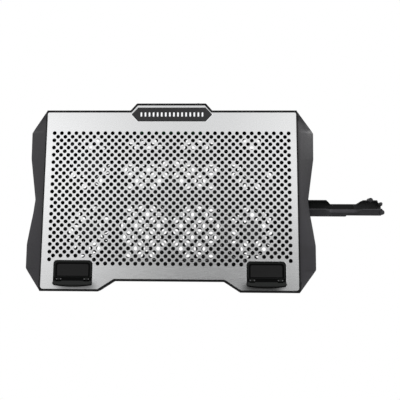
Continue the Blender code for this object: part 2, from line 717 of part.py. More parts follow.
def flap_section(x):
    """Flap, curled lip and hinge knuckle in (y, z); the lip bows to the front."""
    lip = -115.3 - 2.4 * (1 - (x / STOP_HALF_W) ** 2)
    return [(STOP_REAR_Y, 26.7), (STOP_REAR_Y, 27.9), (-105.6, 27.9), (-106.9, 28.2),
            (-109.0, 28.45), (-111.2, 28.6), (lip + 1.7, 30.0), (lip + 0.4, 30.0),
            (lip, 29.3), (lip + 0.6, 28.6), (-112.4, 27.0), (-111.3, 25.4),
            (-110.2, 24.2), (-109.0, 23.8), (-107.4, 24.4), (-106.4, 25.9), (-105.2, 26.7)]


def flap_corner(centre_x, side):
    """What lies outside the arc of one rear corner of the flap."""
    outline = [(centre_x + side * 25.8, STOP_REAR_Y + 0.3)]
    for i in range(5):
        angle = math.pi / 2 * i / 4
        outline.append((centre_x + side * (STOP_HALF_W - FLAP_CORNER_R
                                           + FLAP_CORNER_R * math.cos(angle)),
                        STOP_REAR_Y - FLAP_CORNER_R + FLAP_CORNER_R * math.sin(angle)))
    return extrude([outline], *FLAP_CORNER_Z)


def build_stopper_tray(label, centre_x):
    tray = make(f"stopper_tray_{label}",
                box(centre_x - TRAY_HALF_W, centre_x + TRAY_HALF_W, *TRAY_YZ), BLACK)
    cut(tray, box(centre_x - TRAY_HOLLOW_HALF_W, centre_x + TRAY_HOLLOW_HALF_W,
                  *TRAY_HOLLOW_YZ))
    ears, bores = [], []
    for side in (-1, 1):
        x_min, x_max = span(side, *EAR_X, centre_x)
        ears.append(extrude([ear_outline()], x_min, x_max, "X"))
        bores.append(cylinder(*STOP_AXIS, EAR_BORE_R, x_min - 0.2, x_max + 0.2,
                              count=12, axis="X"))
    add(tray, together(ears))
    cut(tray, together(bores))


def build_stopper_flap(label, centre_x):
    loops = [[(centre_x + x, y, z) for y, z in flap_section(x)] for x in FLAP_STATIONS]
    flap = make(f"stopper_{label}", skin(loops), BLACK, (centre_x, *STOP_AXIS))
    cut(flap, together([flap_corner(centre_x, side) for side in (-1, 1)]))
    cut(flap, together([box(*span(side, *EAR_NOTCH_X, centre_x), *EAR_NOTCH_YZ)
                        for side in (-1, 1)]))
    cut(flap, cylinder(*STOP_AXIS, FLAP_BORE_R, centre_x - FLAP_BORE_HALF_W,
                       centre_x + FLAP_BORE_HALF_W, count=12, axis="X"))


def build_stoppers():
    for label, side in SIDES:
        centre_x = side * STOP_X
        build_stopper_tray(label, centre_x)
        build_stopper_flap(label, centre_x)
        make(f"stopper_pin_{label}",
             cylinder(*STOP_AXIS, STOP_PIN_R, centre_x - STOP_PIN_HALF_W,
                      centre_x + STOP_PIN_HALF_W, count=12, axis="X"), STEEL)


# ------------------------------------------------------------- phone holder
# cross-sections of the arm: y, z
SHOULDER = [(-22.8, 3.4), (-22.8, 5.2), (-13.6, 11.4), (-12.3, 11.4), (-11.6, 5.6),
            (-2.9, 5.6), (-2.3, 13.3), (-0.8, 13.6), (-1.2, 3.4)]
SADDLE = [(-22.8, 3.4), (-22.8, 4.9), (-17.2, 6.6), (-12.7, 6.7), (-12.2, 5.6),
          (-8.0, 5.59), (-6.6, 5.58), (-5.5, 5.3), (-5.9, 3.4)]
TAIL = [(-21.3, 3.4), (-21.3, 5.2), (-13.6, 11.0), (-12.3, 11.0), (-11.6, 5.6),
        (-8.5, 5.6), (-7.9, 11.2), (-6.4, 11.4), (-6.8, 3.4)]
# upright discs joined to the arm, the pivot's first: x, y, radius, z low, z high, segments
HOLDER_DISCS = [(*HOLDER_PIVOT, 11.0, 5.2, 13.6, 28), (289.2, -17.0, 3.5, 3.41, 9.4, 16),
                (287.2, -5.4, 2.1, 3.42, 12.0, 14), (273.4, -0.5, 3.1, 3.43, 12.4, 16)]
HOLDER_BORE_R, HOLDER_BORE_Z = 2.3, (2.0, 15.0)
HOLDER_ORIGIN_Z = 9.0
HOLDER_PIN_PROFILE = [(4.4, 3.5), (4.4, 4.9), (2.0, 4.9), (2.0, 18.4)]   # radius, z


def drawn_in(section):
    """The section with its front face moved back to the tail's."""
    return [(TAIL[0][0] if y < -22 else y, z) for y, z in section]


def build_phone_holder():
    arm = [(181.6, SHOULDER), (212.5, SHOULDER), (219.9, SADDLE), (240.8, SADDLE),
           (241.8, drawn_in(SADDLE)), (254.9, drawn_in(SADDLE)),
           (262.4, drawn_in(SHOULDER)), (281.5, drawn_in(SHOULDER)),
           (284.3, TAIL), (289.0, TAIL)]
    loops = [[(x, y, z) for y, z in section] for x, section in arm]
    holder = make("phone_holder", skin(loops), BLACK, (*HOLDER_PIVOT, HOLDER_ORIGIN_Z))
    for disc in HOLDER_DISCS:
        add(holder, cylinder(*disc))
    cut(holder, cylinder(*HOLDER_PIVOT, HOLDER_BORE_R, *HOLDER_BORE_Z, count=12))
    make("phone_holder_pin", spun(HOLDER_PIN_PROFILE, 12, *HOLDER_PIVOT), STEEL)


# ------------------------------------------------------- rear stand and feet
STAND_ARM_X = (147.0, 155.0)
STAND_BAR_YZ = (50.0, 72.0, 2.3, 4.9)
STAND_ARM_START_Y, STAND_ARM_Z = 60.0, (2.31, 4.89)
EYE_R, EYE_BORE_R, EYE_BORE_X = 2.2, 1.5, (146.0, 156.0)
STAND_PIN_R, STAND_PIN_X = 1.2, (142.8, 159.0)
TIP_X, TIP_YZ = (112.0, 140.0), (50.4, 56.4, 0.8, 2.0)
FEET = {"front": (145.0, -98.0), "rear": (130.0, 92.0)}    # right-hand x, y
FOOT_PROFILE = [(7.2, 0.0), (8.0, 0.8), (8.0, 5.1)]        # radius, z


def hinge_cylinder(side, radius, limits, count):
    """Cylinder on the stand's hinge axis, on one side of the pad."""
    return cylinder(*STAND_AXIS, radius, *span(side, *limits), count=count, axis="X")


def build_rear_stand():
    stand = make("rear_stand", box(-STAND_ARM_X[1], STAND_ARM_X[1], *STAND_BAR_YZ), BLACK,
                 (0, *STAND_AXIS))
    add(stand, together([box(*span(side, *STAND_ARM_X), STAND_ARM_START_Y, STAND_AXIS[0],
                             *STAND_ARM_Z) for side in (-1, 1)]))
    add(stand, together([hinge_cylinder(side, EYE_R, STAND_ARM_X, 16) for side in (-1, 1)]))
    cut(stand, together([hinge_cylinder(side, EYE_BORE_R, EYE_BORE_X, 12)
                         for side in (-1, 1)]))
    for label, side in SIDES:
        make(f"stand_pin_{label}", hinge_cylinder(side, STAND_PIN_R, STAND_PIN_X, 12), STEEL)
        make(f"stand_tip_{label}", box(*span(side, *TIP_X), *TIP_YZ), RUBBER)


def build_feet():
    for row, (x, y) in FEET.items():
        for label, side in SIDES:
            make(f"foot_{row}_{label}", spun(FOOT_PROFILE, 20, side * x, y), RUBBER)


# -------------------------------------------------------------- electronics
BOARD_BOX = (-46.0, 46.0, 92.0, 124.0, 12.9, 14.5)
# parts of a socket: half width, then y and z limits
SOCKET_SHELL = (6.5, (114.5, 130.0, 14.8, 20.5))
SOCKET_HOLLOW = (6.0, (117.0, 131.0, 15.3, 20.0))
SOCKET_TONGUE = (5.2, (116.0, 128.5, 17.6, 19.0))
WHEEL_R, WHEEL_RIDGE, WHEEL_BORE_R, WHEEL_Z = 7.4, 0.35, 1.5, (16.0, 19.0)
WHEEL_POST_PROFILE = [(1.5, 14.8), (1.5, 15.6), (1.15, 15.6), (1.15, 19.6)]   # radius, z
BUTTON_R, BUTTON_Y, BUTTON_ORIGIN_Y = 3.0, (124.6, 131.2), 128.0


def build_sockets():
    def part(x, size):
        half_w, limits = size
        return box(x - half_w, x + half_w, *limits)

    for label, side in SIDES:
        x = side * SOCKET_X
        socket = make(f"usb_socket_{label}", part(x, SOCKET_SHELL), STEEL)
        cut(socket, part(x, SOCKET_HOLLOW))
        add(socket, part(x, SOCKET_TONGUE))


def build_controls():
    x, y = WHEEL_CENTRE
    ridged = []
    for k in range(32):
        angle = 2 * math.pi * k / 32
        radius = WHEEL_R if k % 2 else WHEEL_R - WHEEL_RIDGE
        ridged.append((x + radius * math.cos(angle), y + radius * math.sin(angle)))
    make("speed_wheel", extrude([ridged, circle(x, y, WHEEL_BORE_R, 12)], *WHEEL_Z), BLACK,
         (x, y, CONTROL_Z))
    make("wheel_post", spun(WHEEL_POST_PROFILE, 12, x, y), STEEL)
    make("power_button",
         cylinder(CONTROL_Z, BUTTON_X, BUTTON_R, *BUTTON_Y, count=20, axis="Y"), BLACK,
         (BUTTON_X, BUTTON_ORIGIN_Y, CONTROL_Z))


# ------------------------------------------------------------------- cables
CABLE_R = 0.9
# right-hand routes from a fan to the control board: x, y, z
CABLE_ROUTES = {
    "rear": [(88.0, 71.8, 9.0), (78.0, 80.0, 9.0), (56.0, 86.5, 10.0), (38.0, 88.0, 12.5),
             (34.0, 91.2, 13.7)],
    "front": [(75.4, -48.0, 9.0), (74.3, -36.0, 9.0), (74.3, 0.0, 9.0), (74.3, 44.0, 9.0),
              (70.0, 66.0, 9.0), (50.0, 80.0, 9.5), (26.0, 87.0, 12.5), (22.0, 91.2, 13.7)]}


def curve_points(knots, steps):
    """A smooth line through the knots, with the given steps between them."""
    points = [Vector(knot) for knot in knots]
    points = [points[0] * 2 - points[1], *points, points[-1] * 2 - points[-2]]
    line = []
    for i in range(1, len(points) - 2):
        before, start, end, after = points[i - 1:i + 3]
        for k in range(steps):
            t = k / steps
            line.append(0.5 * ((2 * start) + (end - before) * t
                               + (2 * before - 5 * start + 4 * end - after) * t * t
                               + (3 * start - before - 3 * end + after) * t ** 3))
    line.append(points[-2])
    return line


def cable(path, radius, count):
    """A round cable along a path that keeps mostly level."""
    verts = []
    last = len(path) - 1
    for i, point in enumerate(path):
        ahead = (path[min(i + 1, last)] - path[max(i - 1, 0)]).normalized()
        across = ahead.cross(Vector((0, 0, 1))).normalized()
        upward = across.cross(ahead)
        for k in range(count):
            angle = 2 * math.pi * k / count
            verts.append(tuple(point + across * (radius * math.cos(angle))
                               + upward * (radius * math.sin(angle))))
    faces = []
    for k in range(last):
        faces += band(k * count, (k + 1) * count, count)
    faces.append(tuple(reversed(range(count))))
    faces.append(tuple(last * count + i for i in range(count)))
    return outward((verts, faces))


def build_cables():
    for row, knots in CABLE_ROUTES.items():
        for label, side in SIDES:
            path = curve_points([(side * x, y, z) for x, y, z in knots], 2)
            make(f"fan_cable_{row}_{label}", cable(path, CABLE_R, 5), WIRE)


# ------------------------------------------------------------------- screws
SCREW_PROFILE = [(2.3, 5.7), (2.9, 6.3), (2.9, 7.5), (1.25, 7.9), (1.25, 24.0)]   # radius, z


def build_screws():
    for i, (x, y) in enumerate(SCREWS, 1):
        make(f"case_screw_{i}", spun(SCREW_PROFILE, 8, x, y), STEEL)


build_top_frame()
build_top_plate()
build_badge()
build_bottom_cover()
build_fans()
build_stoppers()
build_phone_holder()
build_rear_stand()
build_feet()
make("control_board", box(*BOARD_BOX), BOARD)
build_sockets()
build_controls()
build_cables()
build_screws()
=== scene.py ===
"""Looks of a laptop cooling pad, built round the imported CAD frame: a perforated sheet on a winged
plastic frame, four fans below it, two flip-up stoppers at the front and a phone holder swung out
to the right. Lengths are millimetres until a mesh is made: X right, Y to the rear, Z up, desk at 0."""
import json
import math

import bmesh
import bpy
from mathutils import Matrix, Vector
from mathutils.geometry import tessellate_polygon

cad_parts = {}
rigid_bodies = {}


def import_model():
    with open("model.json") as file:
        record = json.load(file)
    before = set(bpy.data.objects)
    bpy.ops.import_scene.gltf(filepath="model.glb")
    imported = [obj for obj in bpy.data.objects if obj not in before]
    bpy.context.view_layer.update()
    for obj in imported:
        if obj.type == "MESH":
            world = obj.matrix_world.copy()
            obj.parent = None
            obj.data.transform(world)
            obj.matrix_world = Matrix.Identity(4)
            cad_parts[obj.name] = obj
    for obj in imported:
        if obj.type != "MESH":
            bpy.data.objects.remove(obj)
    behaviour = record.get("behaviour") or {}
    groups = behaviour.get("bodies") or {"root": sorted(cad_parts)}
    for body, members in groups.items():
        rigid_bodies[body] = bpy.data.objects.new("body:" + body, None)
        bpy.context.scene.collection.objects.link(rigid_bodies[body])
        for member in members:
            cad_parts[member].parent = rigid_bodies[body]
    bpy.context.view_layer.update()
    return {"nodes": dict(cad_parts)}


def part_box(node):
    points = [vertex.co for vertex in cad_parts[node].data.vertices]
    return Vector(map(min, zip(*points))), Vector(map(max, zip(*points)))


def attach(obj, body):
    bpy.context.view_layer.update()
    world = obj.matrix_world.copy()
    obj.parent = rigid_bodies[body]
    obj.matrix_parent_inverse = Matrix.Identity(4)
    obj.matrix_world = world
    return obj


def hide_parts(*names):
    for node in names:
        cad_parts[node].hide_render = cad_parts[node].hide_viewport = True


for stray in list(bpy.data.objects):
    bpy.data.objects.remove(stray, do_unlink=True)

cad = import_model()
MILLI = 0.001  # metres in a millimetre
scene = bpy.context.scene

# =============================================================== shader nodes


class Graph:
    """A shader node tree, with short calls that add nodes. Inputs take a value or another socket."""

    def __init__(self, tree):
        self.tree = tree

    def feed(self, node, inputs):
        for key, value in inputs.items():
            if isinstance(value, bpy.types.NodeSocket):
                self.tree.links.new(value, node.inputs[key])
            else:
                node.inputs[key].default_value = value

    def node(self, kind, inputs=None, **settings):
        node = self.tree.nodes.new("ShaderNode" + kind)
        for key, value in settings.items():
            setattr(node, key, value)
        self.feed(node, inputs or {})
        return node

    def math(self, operation, *values):
        return self.node("Math", dict(enumerate(values)), operation=operation).outputs[0]

    def noise(self, vector, scale, detail=3.0, rough=0.55):
        return self.node("TexNoise", {"Scale": scale, "Detail": detail, "Roughness": rough,
                                      "Vector": vector}).outputs["Fac"]

    def remap(self, value, out=(0.0, 1.0), span=(0.3, 0.7)):
        """Value taken linearly from the span to the out range."""
        return self.node("MapRange", {"From Min": span[0], "From Max": span[1], "To Min": out[0],
                                      "To Max": out[1], "Value": value}).outputs[0]

    def mix(self, share, first, second):
        inputs = {0: share}
        for key, colour in ((6, first), (7, second)):
            inputs[key] = (*colour, 1.0) if isinstance(colour, tuple) else colour
        return self.node("Mix", inputs, data_type="RGBA").outputs[2]

    def bump(self, *heights):
        """Normal from one or more (height socket, distance in metres)."""
        normal = None
        for height, distance in heights:
            inputs = {"Strength": 1.0, "Distance": distance, "Height": height}
            if normal is not None:
                inputs["Normal"] = normal
            normal = self.node("Bump", inputs).outputs[0]
        return normal

    def camera_split(self, unseen, seen):
        """One shader for the light that bounces, another for what the camera sees directly."""
        path = self.node("LightPath")
        return self.node("MixShader", {0: path.outputs["Is Camera Ray"], 1: unseen.outputs[0],
                                       2: seen.outputs[0]}).outputs[0]


def scaled(colour, factor):
    return tuple(channel * factor for channel in colour)


def start_material(name):
    material = bpy.data.materials.new(name)
    material.use_nodes = True
    graph = Graph(material.node_tree)
    surface = material.node_tree.nodes["Principled BSDF"]
    place = graph.node("TexCoord").outputs["Object"]
    return material, graph, surface, place


# =============================================================== materials


def plastic(name, base, rough, grain=5200.0, depth=1.2e-5, variation=0.12, spec=0.5, coat=0.0,
            tint=None):
    """Moulded plastic: spark-eroded grain, faint cloudiness and a slightly uneven sheen."""
    material, graph, surface, place = start_material(name)
    cloud = graph.noise(place, scale=26.0, detail=4.0, rough=0.6)
    fine = graph.noise(place, scale=grain, detail=2.0, rough=0.5)
    cells = graph.node("TexVoronoi", {"Scale": grain * 0.42, "Vector": place})
    colour = graph.mix(graph.remap(cloud), scaled(base, 1 - variation),
                       scaled(tint or base, 1 + variation))
    speck = graph.mix(graph.remap(fine, out=(0.0, 0.35), span=(0.55, 0.75)), colour,
                      scaled(base, 1.6))
    graph.feed(surface, {
        "Base Color": speck,
        "Roughness": graph.remap(cloud, out=(rough - 0.05, rough + 0.06)),
        "Specular IOR Level": spec,
        "Coat Weight": coat,
        "Coat Roughness": 0.15,
        "Normal": graph.bump((cells.outputs["Distance"], depth), (fine, depth * 0.6))})
    return material


def painted_lip_shade(graph, place):
    """Painted contact shade on the sheet just ahead of the two stopper lips, deeper on the right."""
    shade_x, half_width = 0.1225, 0.0255  # metres, on both sides of the middle
    front, reach = 0.1188, 0.0062  # metres ahead of the origin, and fade length
    left_right_slope, middle_depth = 0.9, 0.74
    # Painted shade: a soft dark patch in the sheet's colour, placed ahead of each stopper lip.
    x, y, _ = graph.node("SeparateXYZ", {0: place}).outputs
    across = graph.math("DIVIDE", graph.math("SUBTRACT", graph.math("ABSOLUTE", x), shade_x),
                        half_width)
    ahead = graph.math("DIVIDE", graph.math("ADD", y, front), reach)
    spread = graph.math("ADD", graph.math("POWER", graph.math("ABSOLUTE", across), 6.0),
                        graph.math("MULTIPLY", ahead, ahead))
    depth = graph.math("ADD", graph.math("MULTIPLY", x, left_right_slope), middle_depth)
    falloff = graph.math("EXPONENT", graph.math("MULTIPLY", spread, -1.0))
    return graph.math("SUBTRACT", 1.0, graph.math("MULTIPLY", falloff, depth))


def brushed(name, base, rough, metal=1.0, along="X", lines=3800.0, depth=2.5e-6, variation=0.05,
            painted_shade_power=0.0):
    """Metal with a fine directional grain. Its painted shade power darkens the colour with painted
    occlusion close to other parts and a painted patch just ahead of the stopper lips.
    """
    material, graph, surface, place = start_material(name)
    stretch = {"X": (0.02, 1.0, 1.0), "Y": (1.0, 0.02, 1.0)}[along]
    drawn = graph.node("Mapping", {"Scale": stretch, "Vector": place}).outputs[0]
    grain = graph.noise(drawn, scale=lines, detail=4.0, rough=0.65)
    cloud = graph.noise(place, scale=14.0, detail=3.0, rough=0.5)
    fine = graph.noise(place, scale=9000.0, detail=1.0, rough=0.5)
    streak = graph.mix(graph.remap(grain), scaled(base, 1 - variation), scaled(base, 1 + variation))
    colour = graph.mix(graph.remap(cloud, out=(0.0, 0.5), span=(0.35, 0.7)), streak,
                       scaled(base, 0.97))
    # Painted shade: ambient occlusion and the patch ahead of the stopper lips darken the base colour.
    if painted_shade_power:
        near = graph.node("AmbientOcclusion", {"Distance": 0.013}, samples=12)
        shade = graph.math("MULTIPLY", graph.math("POWER", near.outputs["AO"], painted_shade_power),
                           painted_lip_shade(graph, place))
        colour = graph.node("VectorMath", {0: colour, "Scale": shade}, operation="SCALE").outputs[0]
    graph.feed(surface, {
        "Base Color": colour,
        "Metallic": metal,
        "Roughness": graph.remap(grain, out=(rough - 0.04, rough + 0.06)),
        "Normal": graph.bump((grain, depth), (fine, depth * 0.8))})
    return material


def rubber(name, base, rough=0.8):
    material, graph, surface, place = start_material(name)
    fine = graph.noise(place, scale=3200.0, detail=3.0, rough=0.6)
    cloud = graph.noise(place, scale=90.0, detail=3.0, rough=0.6)
    graph.feed(surface, {
        "Base Color": graph.mix(graph.remap(cloud), scaled(base, 0.8), scaled(base, 1.35)),
        "Roughness": graph.remap(fine, out=(rough - 0.08, rough + 0.1)),
        "Specular IOR Level": 0.35,
        "Normal": graph.bump((fine, 2.5e-5))})
    return material


def windings(name):
    """Enamelled copper wire wound on the poles."""
    material, graph, surface, place = start_material(name)
    wave = graph.node("TexWave", {"Scale": 900.0, "Distortion": 0.6, "Vector": place},
                      wave_type="BANDS", bands_direction="Z").outputs["Fac"]
    graph.feed(surface, {
        "Base Color": graph.mix(wave, (0.18, 0.06, 0.02), (0.72, 0.33, 0.14)),
        "Metallic": 0.9,
        "Roughness": 0.32,
        "Normal": graph.bump((wave, 5e-5))})
    return material


def circuit_board(name):
    """Green solder mask with paler tracks in a brick pattern."""
    material, graph, surface, place = start_material(name)
    brick = graph.node("TexBrick", {
        "Scale": 260.0, "Mortar Size": 0.03, "Color1": (0.012, 0.10, 0.045, 1),
        "Color2": (0.016, 0.14, 0.06, 1), "Mortar": (0.05, 0.26, 0.12, 1), "Vector": place})
    dust = graph.noise(place, scale=700.0, detail=3.0)
    graph.feed(surface, {
        "Base Color": graph.mix(graph.remap(dust, out=(0.0, 0.35), span=(0.45, 0.8)),
                                brick.outputs["Color"], (0.02, 0.09, 0.05)),
        "Roughness": graph.remap(dust, out=(0.28, 0.5), span=(0.0, 1.0)),
        "Normal": graph.bump((brick.outputs["Fac"], 2e-5))})
    return material


def glow(name, base, strength):
    """Milky light guide, softly lit from inside."""
    material, graph, surface, place = start_material(name)
    cloud = graph.noise(place, scale=420.0, detail=2.0)
    colour = graph.mix(graph.remap(cloud), scaled(base, 0.94), base)
    graph.feed(surface, {
        "Base Color": colour,
        "Emission Color": colour,
        "Emission Strength": strength,
        "Roughness": graph.remap(cloud, out=(0.22, 0.34), span=(0.0, 1.0)),
        "Normal": graph.bump((cloud, 5e-6))})
    return material


# The deck sheet carries painted shade in its colour, near other parts and ahead of each stopper lip.
SILVER = brushed("deck_satin_silver_painted_shade", (0.80, 0.805, 0.81), rough=0.27, depth=0.5e-6,
                 variation=0.008, painted_shade_power=3.0)
SILVER_EDGE = brushed("deck_cut_edge", (0.93, 0.935, 0.94), rough=0.22, lines=2600.0)
# Near-black colour on the hole bores of the metal sheet: painted shade inside the holes.
SHADED_HOLE_WALL = plastic("deck_hole_wall_painted_shade", (0.012, 0.012, 0.012), rough=0.6, spec=0.1)
GRAPHITE = plastic("wing_graphite", (0.0185, 0.0176, 0.0202), rough=0.40, spec=0.34,
                   tint=(0.0190, 0.0176, 0.0222))
# Black of the rim, also laid on the fillet band beside it as painted shade.
RIM = plastic("rim_black_and_fillet_painted_shade", (0.0085, 0.0085, 0.0088), rough=0.34, grain=7000.0, depth=4e-6,
              spec=0.13)
WALL = plastic("frame_side", (0.024, 0.023, 0.026), rough=0.46, spec=0.3)
COVER = plastic("cover_black", (0.0095, 0.0095, 0.010), rough=0.55, grain=4200.0, depth=2.2e-5,
                spec=0.2)
STOPPER = plastic("stopper_black", (0.0068, 0.0076, 0.0071), rough=0.46, grain=5000.0,
                  depth=1.0e-5, spec=0.13)
PANEL = plastic("stopper_panel", (0.0106, 0.0106, 0.0107), rough=0.5, grain=3600.0, depth=2.2e-5,
                spec=0.14)
# Near-black painted shade for the troughs round the flap panel and over the barrel.
SHADED_TROUGH = plastic("stopper_trough_painted_shade", (0.0022, 0.0023, 0.0023), rough=0.7, grain=3600.0,
                 depth=2.0e-5, spec=0.04)
# Lighter copy of the holder plastic: painted highlight on the bead and the landing.
LIT_BEAD = plastic("holder_bead_painted_highlight", (0.036, 0.0345, 0.040), rough=0.42, grain=5200.0, depth=9e-6,
               spec=0.35)
# Painted shade in the slot at the far end of the holder.
SHADED_TAIL_SLOT = plastic("holder_tail_slot_painted_shade", (0.0125, 0.0127, 0.0132), rough=0.6, grain=3200.0,
                 depth=2.0e-5, spec=0.2)
ROD = brushed("stopper_rod", (0.20, 0.20, 0.205), rough=0.5)
HOLDER = plastic("holder_black", (0.0180, 0.0180, 0.0198), rough=0.42, grain=5200.0, depth=9e-6,
                 spec=0.35)
# Lighter copy of the stopper plastic for the upward faces of the lip: painted light.
LIT_LIP_TOP = plastic("stopper_lip_top_painted_light", (0.0125, 0.0137, 0.0130), rough=0.5, grain=5000.0, depth=1.0e-5,
              spec=0.14)
# Painted shade in the holder's phone slot.
SHADED_SLOT = plastic("holder_slot_painted_shade", (0.0068, 0.0072, 0.0072), rough=0.7, grain=3200.0,
               depth=2.5e-5, spec=0.12)
FAN = plastic("fan_black", (0.014, 0.014, 0.015), rough=0.33, grain=6500.0, depth=4e-6, spec=0.35)
HUB_LABEL = brushed("fan_hub_label", (0.035, 0.035, 0.038), rough=0.38, metal=0.4, along="Y")
LENS = plastic("badge_smoked", (0.026, 0.0255, 0.027), rough=0.32, grain=8000.0, depth=3e-6,
               spec=0.2, coat=0.04)
STEEL = brushed("pin_steel", (0.62, 0.62, 0.63), rough=0.24, along="X", lines=5200.0)
SCREW = brushed("screw_zinc", (0.34, 0.34, 0.35), rough=0.32, along="Y", lines=4200.0)
SHELL = brushed("socket_nickel", (0.66, 0.65, 0.63), rough=0.22, along="Y", lines=2600.0)
TONGUE = plastic("socket_tongue", (0.72, 0.73, 0.74), rough=0.4, grain=6000.0, depth=3e-6)
RUBBER = rubber("foot_rubber", (0.016, 0.016, 0.0165))
JACKET = rubber("cable_jacket", (0.013, 0.013, 0.014), rough=0.5)
COIL = windings("stator_windings")
BOARD = circuit_board("board_mask")
LIGHT = glow("badge_light", (0.80, 0.81, 0.82), strength=0.34)
BUTTON = plastic("button_gloss", (0.02, 0.02, 0.021), rough=0.2, grain=7000.0, depth=2e-6,
                 coat=0.4)

# ============================================================ outlines


def double_area(loop):
    """Twice the enclosed area, positive for a counter-clockwise loop."""
    return sum(loop[i - 1][0] * loop[i][1] - loop[i][0] * loop[i - 1][1] for i in range(len(loop)))


def wound(loops):
    """The first loop counter-clockwise, the holes in it clockwise."""
    return [loop[::-1] if (double_area(loop) > 0) != (k == 0) else loop
            for k, loop in enumerate(loops)]


def circle(mid_x, mid_y, radius, count):
    return [(mid_x + radius * math.cos(2 * math.pi * i / count),
             mid_y + radius * math.sin(2 * math.pi * i / count)) for i in range(count)]


def rectangle(x0, x1, y0, y1):
    return [(x0, y0), (x1, y0), (x1, y1), (x0, y1)]


def turned_rectangle(mid_x, mid_y, angle, near, far, half):
    """Rectangle from near to far along a ray from the middle, half wide to each side of it."""
    cos, sin = math.cos(angle), math.sin(angle)
    return [(mid_x + x * cos - y * sin, mid_y + x * sin + y * cos)
            for x, y in rectangle(near, far, -half, half)]


def rounded(corners, steps=4):
    """Outline with each (x, y, radius) corner rounded. A corner of radius 0 stays one point."""
    out = []
    for i, (x, y, radius) in enumerate(corners):
        corner = Vector((x, y))
        back = Vector(corners[i - 1][:2]) - corner
        ahead = Vector(corners[(i + 1) % len(corners)][:2]) - corner
        turn = math.pi - back.angle(ahead)
        if radius <= 0 or turn < 1e-3:
            out.append((x, y))
            continue
        tan = math.tan(turn / 2)
        radius = min(radius, 0.48 * min(back.length, ahead.length) / tan)
        cut = radius * tan
        back.normalize()
        ahead.normalize()
        mid = corner + (back + ahead).normalized() * (radius / math.cos(turn / 2))
        start, end = corner + back * cut - mid, corner + ahead * cut - mid
        for k in range(steps + 1):
            share = k / steps
            out.append(tuple(mid + (start * (1 - share) + end * share).normalized() * radius))
    return out


def offset(poly, distance):
    """The polygon moved inwards by a distance, a number or one value for each edge."""
    count = len(poly)
    if isinstance(distance, (int, float)):
        distance = [distance] * count
    out = []
    for i in range(count):
        before, here, after = (Vector(poly[k]) for k in (i - 1, i, (i + 1) % count))
        edge_in, edge_out = (here - before).normalized(), (after - here).normalized()
        foot_in = here + Vector((-edge_in.y, edge_in.x)) * distance[i - 1]
        foot_out = here + Vector((-edge_out.y, edge_out.x)) * distance[i]
        cross = edge_in.x * edge_out.y - edge_in.y * edge_out.x
        if abs(cross) < 1e-4:
            out.append(tuple((foot_in + foot_out) / 2))
        else:
            gap = foot_out - foot_in
            out.append(tuple(foot_in + edge_in * ((gap.x * edge_out.y - gap.y * edge_out.x) / cross)))
    return out


def both_sides(points):
    """Points of the right half, then their mirror images in reverse order."""
    return points + [(-point[0], *point[1:]) for point in reversed(points)]


def fill(loops):
    """Counter-clockwise triangles over loops[0] less the others. Indices run through all loops."""
    points = [point for loop in loops for point in loop]
    out = []
    for tri in tessellate_polygon([[Vector((x, y, 0)) for x, y in loop] for loop in loops]):
        if double_area([points[i] for i in tri]) < 0:
            tri = tuple(reversed(tri))
        out.append(tuple(tri))
    return out


# ============================================================ shapes, as (vertices, faces)


def outward(shape):
    verts, faces = shape
    volume = 0.0
    for face in faces:
        first = Vector(verts[face[0]])
        for i in range(1, len(face) - 1):
            volume += first.dot(Vector(verts[face[i]]).cross(Vector(verts[face[i + 1]])))
    if volume < 0:
        faces = [tuple(reversed(face)) for face in faces]
    return verts, faces


def extrude(loops, low, high, axis="Z"):
    """Outline with holes, drawn in (X, Y), in (Y, Z) for axis X or in (Z, X) for axis Y."""
    loops = wound(loops)
    count = sum(len(loop) for loop in loops)
    verts = []
    for z in (high, low):
        for loop in loops:
            for x, y in loop:
                verts.append({"Z": (x, y, z), "X": (z, x, y), "Y": (y, z, x)}[axis])
    faces = []
    if len(loops) == 1:
        faces = [tuple(range(count)), tuple(reversed(range(count, 2 * count)))]
    else:
        for tri in fill(loops):
            faces.append(tri)
            faces.append(tuple(i + count for i in reversed(tri)))
    start = 0
    for loop in loops:
        size = len(loop)
        for i in range(size):
            here, after = start + i, start + (i + 1) % size
            faces.append((here + count, after + count, after, here))
        start += size
    return verts, faces


def box(x0, x1, y0, y1, z0, z1):
    return extrude([rectangle(x0, x1, y0, y1)], z0, z1)


def cylinder(x, y, radius, low, high, count, axis="Z"):
    return extrude([circle(x, y, radius, count)], low, high, axis)


def skin(loops, wrap=False):
    """Loops of equal count joined in turn, capped at both ends or wrapped from last to first."""
    count = len(loops[0])
    verts = [point for loop in loops for point in loop]
    faces = []
    for k in range(len(loops) if wrap else len(loops) - 1):
        here, there = k * count, ((k + 1) % len(loops)) * count
        for i in range(count):
            j = (i + 1) % count
            faces.append((here + i, here + j, there + j, there + i))
    if not wrap:
        faces.append(tuple(reversed(range(count))))
        faces.append(tuple((len(loops) - 1) * count + i for i in range(count)))
    return outward((verts, faces))


def level(points, z):
    """Plan points raised to one height, or each to its own."""
    return [(x, y, z[i] if isinstance(z, list) else z) for i, (x, y) in enumerate(points)]


def together(shapes):
    verts, faces = [], []
    for more_verts, more_faces in shapes:
        base = len(verts)
        verts += more_verts
        faces += [tuple(base + i for i in face) for face in more_faces]
    return verts, faces


def lathe(profile, count, mid_x, mid_y, wrap=False):
    """A (radius, z) profile turned about a vertical axis."""
    verts, faces = skin([level(circle(0.0, 0.0, radius, count), z) for radius, z in profile], wrap)
    return [(x + mid_x, y + mid_y, z) for x, y, z in verts], faces


def cross_rod(y, z, stations):
    """Round rod along X through (x, radius) stations."""
    return skin([[(x, *point) for point in circle(y, z, radius, 24)] for x, radius in stations])


# ============================================================ objects


def smooth(mesh, angle):
    """Smooth shading that keeps edges above the angle, in degrees, crisp."""
    mesh.shade_smooth()
    mesh.set_sharp_from_angle(angle=math.radians(angle))


